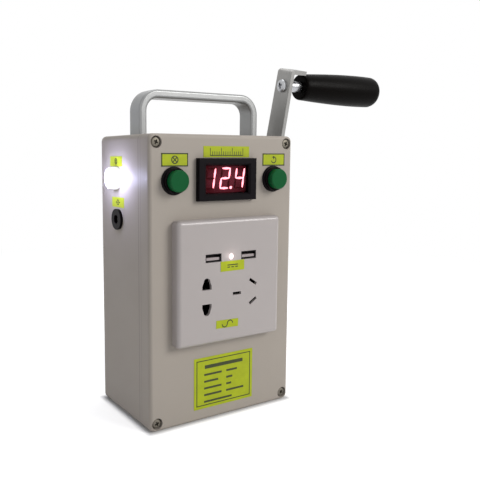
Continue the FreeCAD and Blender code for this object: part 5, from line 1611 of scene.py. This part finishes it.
@dataclass
class Studio:
    """Camera, lamps, floor and background."""

    lens_pixels: float = 603.0
    picture: Point = (480.0, 502.0)
    middle: Point = (180.0, 225.0)
    azimuth: float = 31.28
    elevation: float = -6.36
    station: tuple[float, float, float] = (-0.24379, -0.37831, 0.18429)
    room_colour: Colour = (0.93, 0.95, 1.0, 1.0)
    room_strength: float = 0.34
    floor_size: float = 12.0
    floor_drop: float = 0.2 * MM
    floor_lift: float = 0.6
    # Width of the painted contact shade: the floor's lift fades out within it round the object's footprint.
    contact: float = 4.0 * MM
    floor_fade: Point = (0.25, 0.8)
    torch_reach: float = 20.0 * MM
    torch_power: float = 0.018
    torch_colour: tuple[float, float, float] = (0.62, 0.62, 1.0)
    pilot_reach: float = 4.0 * MM
    pilot_power: float = 0.0005
    pilot_colour: tuple[float, float, float] = (1.0, 0.82, 0.82)
    glare_size: Point = (28.0 * MM, 8.0 * MM)
    glare_reach: float = 12.0 * MM
    glare_shift: float = 4.0 * MM
    glare_power: float = 0.02
    glare_colour: tuple[float, float, float] = (0.64, 0.66, 1.0)

    def build(self) -> None:
        """Sets up everything that is not part of the object."""
        self.place_camera()
        self.place_lamps()
        self.lay_floor()
        self.light_world()

    def place_camera(self) -> None:
        """Puts the camera where the photograph was taken from."""
        width, height = self.picture
        data = bpy.data.cameras.new("camera")
        data.sensor_width = 36.0
        data.lens = self.lens_pixels * data.sensor_width / height
        data.shift_x = (width / 2 - self.middle[0]) / height
        data.shift_y = (self.middle[1] - height / 2) / height
        data.clip_start = 0.01
        camera = bpy.data.objects.new("camera", data)
        camera.location = self.station
        camera.rotation_euler = (math.radians(90 + self.elevation), 0.0, math.radians(-self.azimuth))
        bpy.context.scene.collection.objects.link(camera)
        bpy.context.scene.camera = camera

    def place_lamps(self) -> None:
        """Adds a large soft lamp from the right, a weak one from the left and one from above."""
        for name, place, target, size, power, colour in (
            ("window_light", (0.8, -1.15, 0.8), (0.0, 0.0, 0.12), 0.7, 14.0, (1.0, 0.985, 0.96)),
            ("room_light", (-1.2, -0.9, 0.7), (0.0, 0.0, 0.1), 1.2, 2.0, (1.0, 0.95, 0.93)),
            ("ceiling_light", (0.1, 0.3, 1.5), (0.0, 0.0, 0.1), 0.8, 6.0, (1.0, 1.0, 1.0)),
        ):
            data = bpy.data.lights.new(name, "AREA")
            data.size = size
            data.energy = power
            data.color = colour
            lamp = bpy.data.objects.new(name, data)
            lamp.location = place
            aim = Vector(target) - Vector(place)
            lamp.rotation_euler = aim.to_track_quat("-Z", "Y").to_euler()
            bpy.context.scene.collection.objects.link(lamp)
        lens, pilot = middle_of("lamp_bezel"), middle_of("pilot_lens")
        torch_spot = (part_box("lamp_bezel")[0].x - self.torch_reach, lens.y, lens.z)
        self.add_spill("torch_spill", torch_spot, self.torch_power, self.torch_colour)
        self.add_glare((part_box("case_shell")[0].x, lens.y, lens.z))
        pilot_spot = (pilot.x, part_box("pilot_lens")[0].y - self.pilot_reach, pilot.z)
        self.add_spill("pilot_spill", pilot_spot, self.pilot_power, self.pilot_colour)

    def add_spill(self, name: str, place: Sequence[float], power: float, colour: Sequence[float]) -> None:
        """Adds the light that a lit lens throws back on the surface round it.

        Args:
            name: The light's name.
            place: Where it is, just outside the lens.
            power: Its power in watts.
            colour: Its colour.
        """
        data = bpy.data.lights.new(name, "POINT")
        data.energy = power
        data.shadow_soft_size = 2.0 * MM
        data.color = colour
        spill = bpy.data.objects.new(name, data)
        spill.location = place
        bpy.context.scene.collection.objects.link(spill)

    def add_glare(self, centre: Sequence[float]) -> None:
        """Adds the glare of the lit torch: an oval light just off the wall that shines on it.

        Args:
            centre: Its middle, on the wall.
        """
        data = bpy.data.lights.new("torch_glare", "AREA")
        data.shape = "ELLIPSE"
        data.size, data.size_y = self.glare_size
        data.energy = self.glare_power
        data.color = self.glare_colour
        glare = bpy.data.objects.new("torch_glare", data)
        glare.location = (centre[0] - self.glare_reach, centre[1] - self.glare_shift, centre[2])
        glare.rotation_euler = (math.radians(90), 0.0, math.radians(-90))
        glare.visible_camera = False
        bpy.context.scene.collection.objects.link(glare)

    def lay_floor(self) -> None:
        """Lays a wide pale floor that keeps the object's shadow and looks white to the camera, with a painted
        contact shade round the object's footprint.
        """
        deselect_all()
        bpy.ops.mesh.primitive_plane_add(size=self.floor_size, location=(0, 0, -self.floor_drop))
        floor = bpy.context.object
        floor.name = "floor"
        graph = Graph("pale_floor")
        surface = graph.add("ShaderNodeBsdfDiffuse")
        tone = graph.shades(graph.noise(3, 3, 0.5), (0.80, 0.80, 0.80, 1.0), (0.84, 0.84, 0.84, 1.0))
        graph.wire(tone, surface.inputs["Color"])
        lift = graph.add("ShaderNodeEmission", Color=(1.0, 1.0, 1.0, 1.0))
        graph.wire(self.lift_with_painted_contact_shade(graph), lift.inputs["Strength"])
        lifted = graph.add("ShaderNodeAddShader")
        graph.wire(surface.outputs[0], lifted.inputs[0])
        graph.wire(lift.outputs[0], lifted.inputs[1])
        white = graph.add("ShaderNodeEmission", Color=(1.0, 1.0, 1.0, 1.0), Strength=1.0)
        reach = graph.add("ShaderNodeVectorMath", operation="LENGTH")
        graph.wire(graph.place, reach.inputs[0])
        far = graph.spread(reach.outputs["Value"], 0.0, 1.0, self.floor_fade[0], self.floor_fade[1])
        seen = graph.add("ShaderNodeMixShader")
        graph.wire(far, seen.inputs[0])
        graph.wire(lifted.outputs[0], seen.inputs[1])
        graph.wire(white.outputs[0], seen.inputs[2])
        choose = graph.add("ShaderNodeMixShader")
        graph.wire(looking_ray(graph.tree), choose.inputs[0])
        graph.wire(surface.outputs[0], choose.inputs[1])
        graph.wire(seen.outputs[0], choose.inputs[2])
        graph.wire(choose.outputs[0], graph.output.inputs["Surface"])
        floor.data.materials.append(graph.material)

    def lift_with_painted_contact_shade(self, graph: Graph) -> bpy.types.NodeSocket:
        """The floor's own light for the camera, which fades out where the object touches it: there the floor
        shows its real shadow, darkened further by this painted contact shade.

        Args:
            graph: The floor material's nodes.

        Returns:
            The strength output.
        """
        low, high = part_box("case_shell")
        front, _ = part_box("front_cover")
        half = ((high.x - low.x) / 2, (high.y - front.y) / 2)
        aside = graph.add("ShaderNodeVectorMath", operation="SUBTRACT")
        aside.inputs[1].default_value = ((high.x + low.x) / 2, (high.y + front.y) / 2, 0.0)
        graph.wire(graph.place, aside.inputs[0])
        spread = graph.add("ShaderNodeVectorMath", operation="ABSOLUTE")
        graph.wire(aside.outputs[0], spread.inputs[0])
        past = graph.add("ShaderNodeVectorMath", operation="SUBTRACT")
        past.inputs[1].default_value = (*half, 0.0)
        graph.wire(spread.outputs[0], past.inputs[0])
        outside = graph.add("ShaderNodeVectorMath", operation="MAXIMUM")
        outside.inputs[1].default_value = (0.0, 0.0, 0.0)
        graph.wire(past.outputs[0], outside.inputs[0])
        distance = graph.add("ShaderNodeVectorMath", operation="LENGTH")
        graph.wire(outside.outputs[0], distance.inputs[0])
        return graph.spread(distance.outputs["Value"], 0.0, self.floor_lift, 0.0, self.contact)

    def light_world(self) -> None:
        """Fills the room with plain light and shows white behind the object."""
        world = bpy.data.worlds.new("room")
        bpy.context.scene.world = world
        world.use_nodes = True
        nodes, links = world.node_tree.nodes, world.node_tree.links
        nodes.clear()
        output = nodes.new("ShaderNodeOutputWorld")
        room = nodes.new("ShaderNodeBackground")
        room.inputs["Color"].default_value = self.room_colour
        room.inputs["Strength"].default_value = self.room_strength
        white = nodes.new("ShaderNodeBackground")
        white.inputs["Color"].default_value = (1.0, 1.0, 1.0, 1.0)
        white.inputs["Strength"].default_value = 1.0
        choose = nodes.new("ShaderNodeMixShader")
        links.new(looking_ray(world.node_tree), choose.inputs[0])
        links.new(room.outputs[0], choose.inputs[1])
        links.new(white.outputs[0], choose.inputs[2])
        links.new(choose.outputs[0], output.inputs["Surface"])
        bpy.context.scene.view_settings.view_transform = "Standard"


def pillar_places() -> list[Point]:
    """Y and Z of the three gearbox screws, from the pillars that they go through.

    Returns:
        The places, low front, low back and top.
    """
    radius = 3.0 * MM
    front_rise = 1.03 * MM
    top_place = 22.58 * MM
    low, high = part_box("plate_pillars")
    bottom, top = low.z + radius, high.z - radius
    return [(low.y + radius, bottom + front_rise), (high.y - radius, bottom), (top_place, top)]


def main() -> None:
    """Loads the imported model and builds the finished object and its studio."""
    logging.basicConfig(level=logging.INFO, format="%(message)s")
    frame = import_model()
    palette = Palette()
    wardrobe = Wardrobe(palette, frame)
    wardrobe.dress_nodes()
    CoverScrews().build(palette)
    GearboxScrews().build(palette, pillar_places())
    ReturnSprings().build(palette)
    GripSet().build(palette)
    MeterFigures().build(palette)
    Stickers().build(palette)
    Studio().build()


if __name__ == "__main__":
    main()
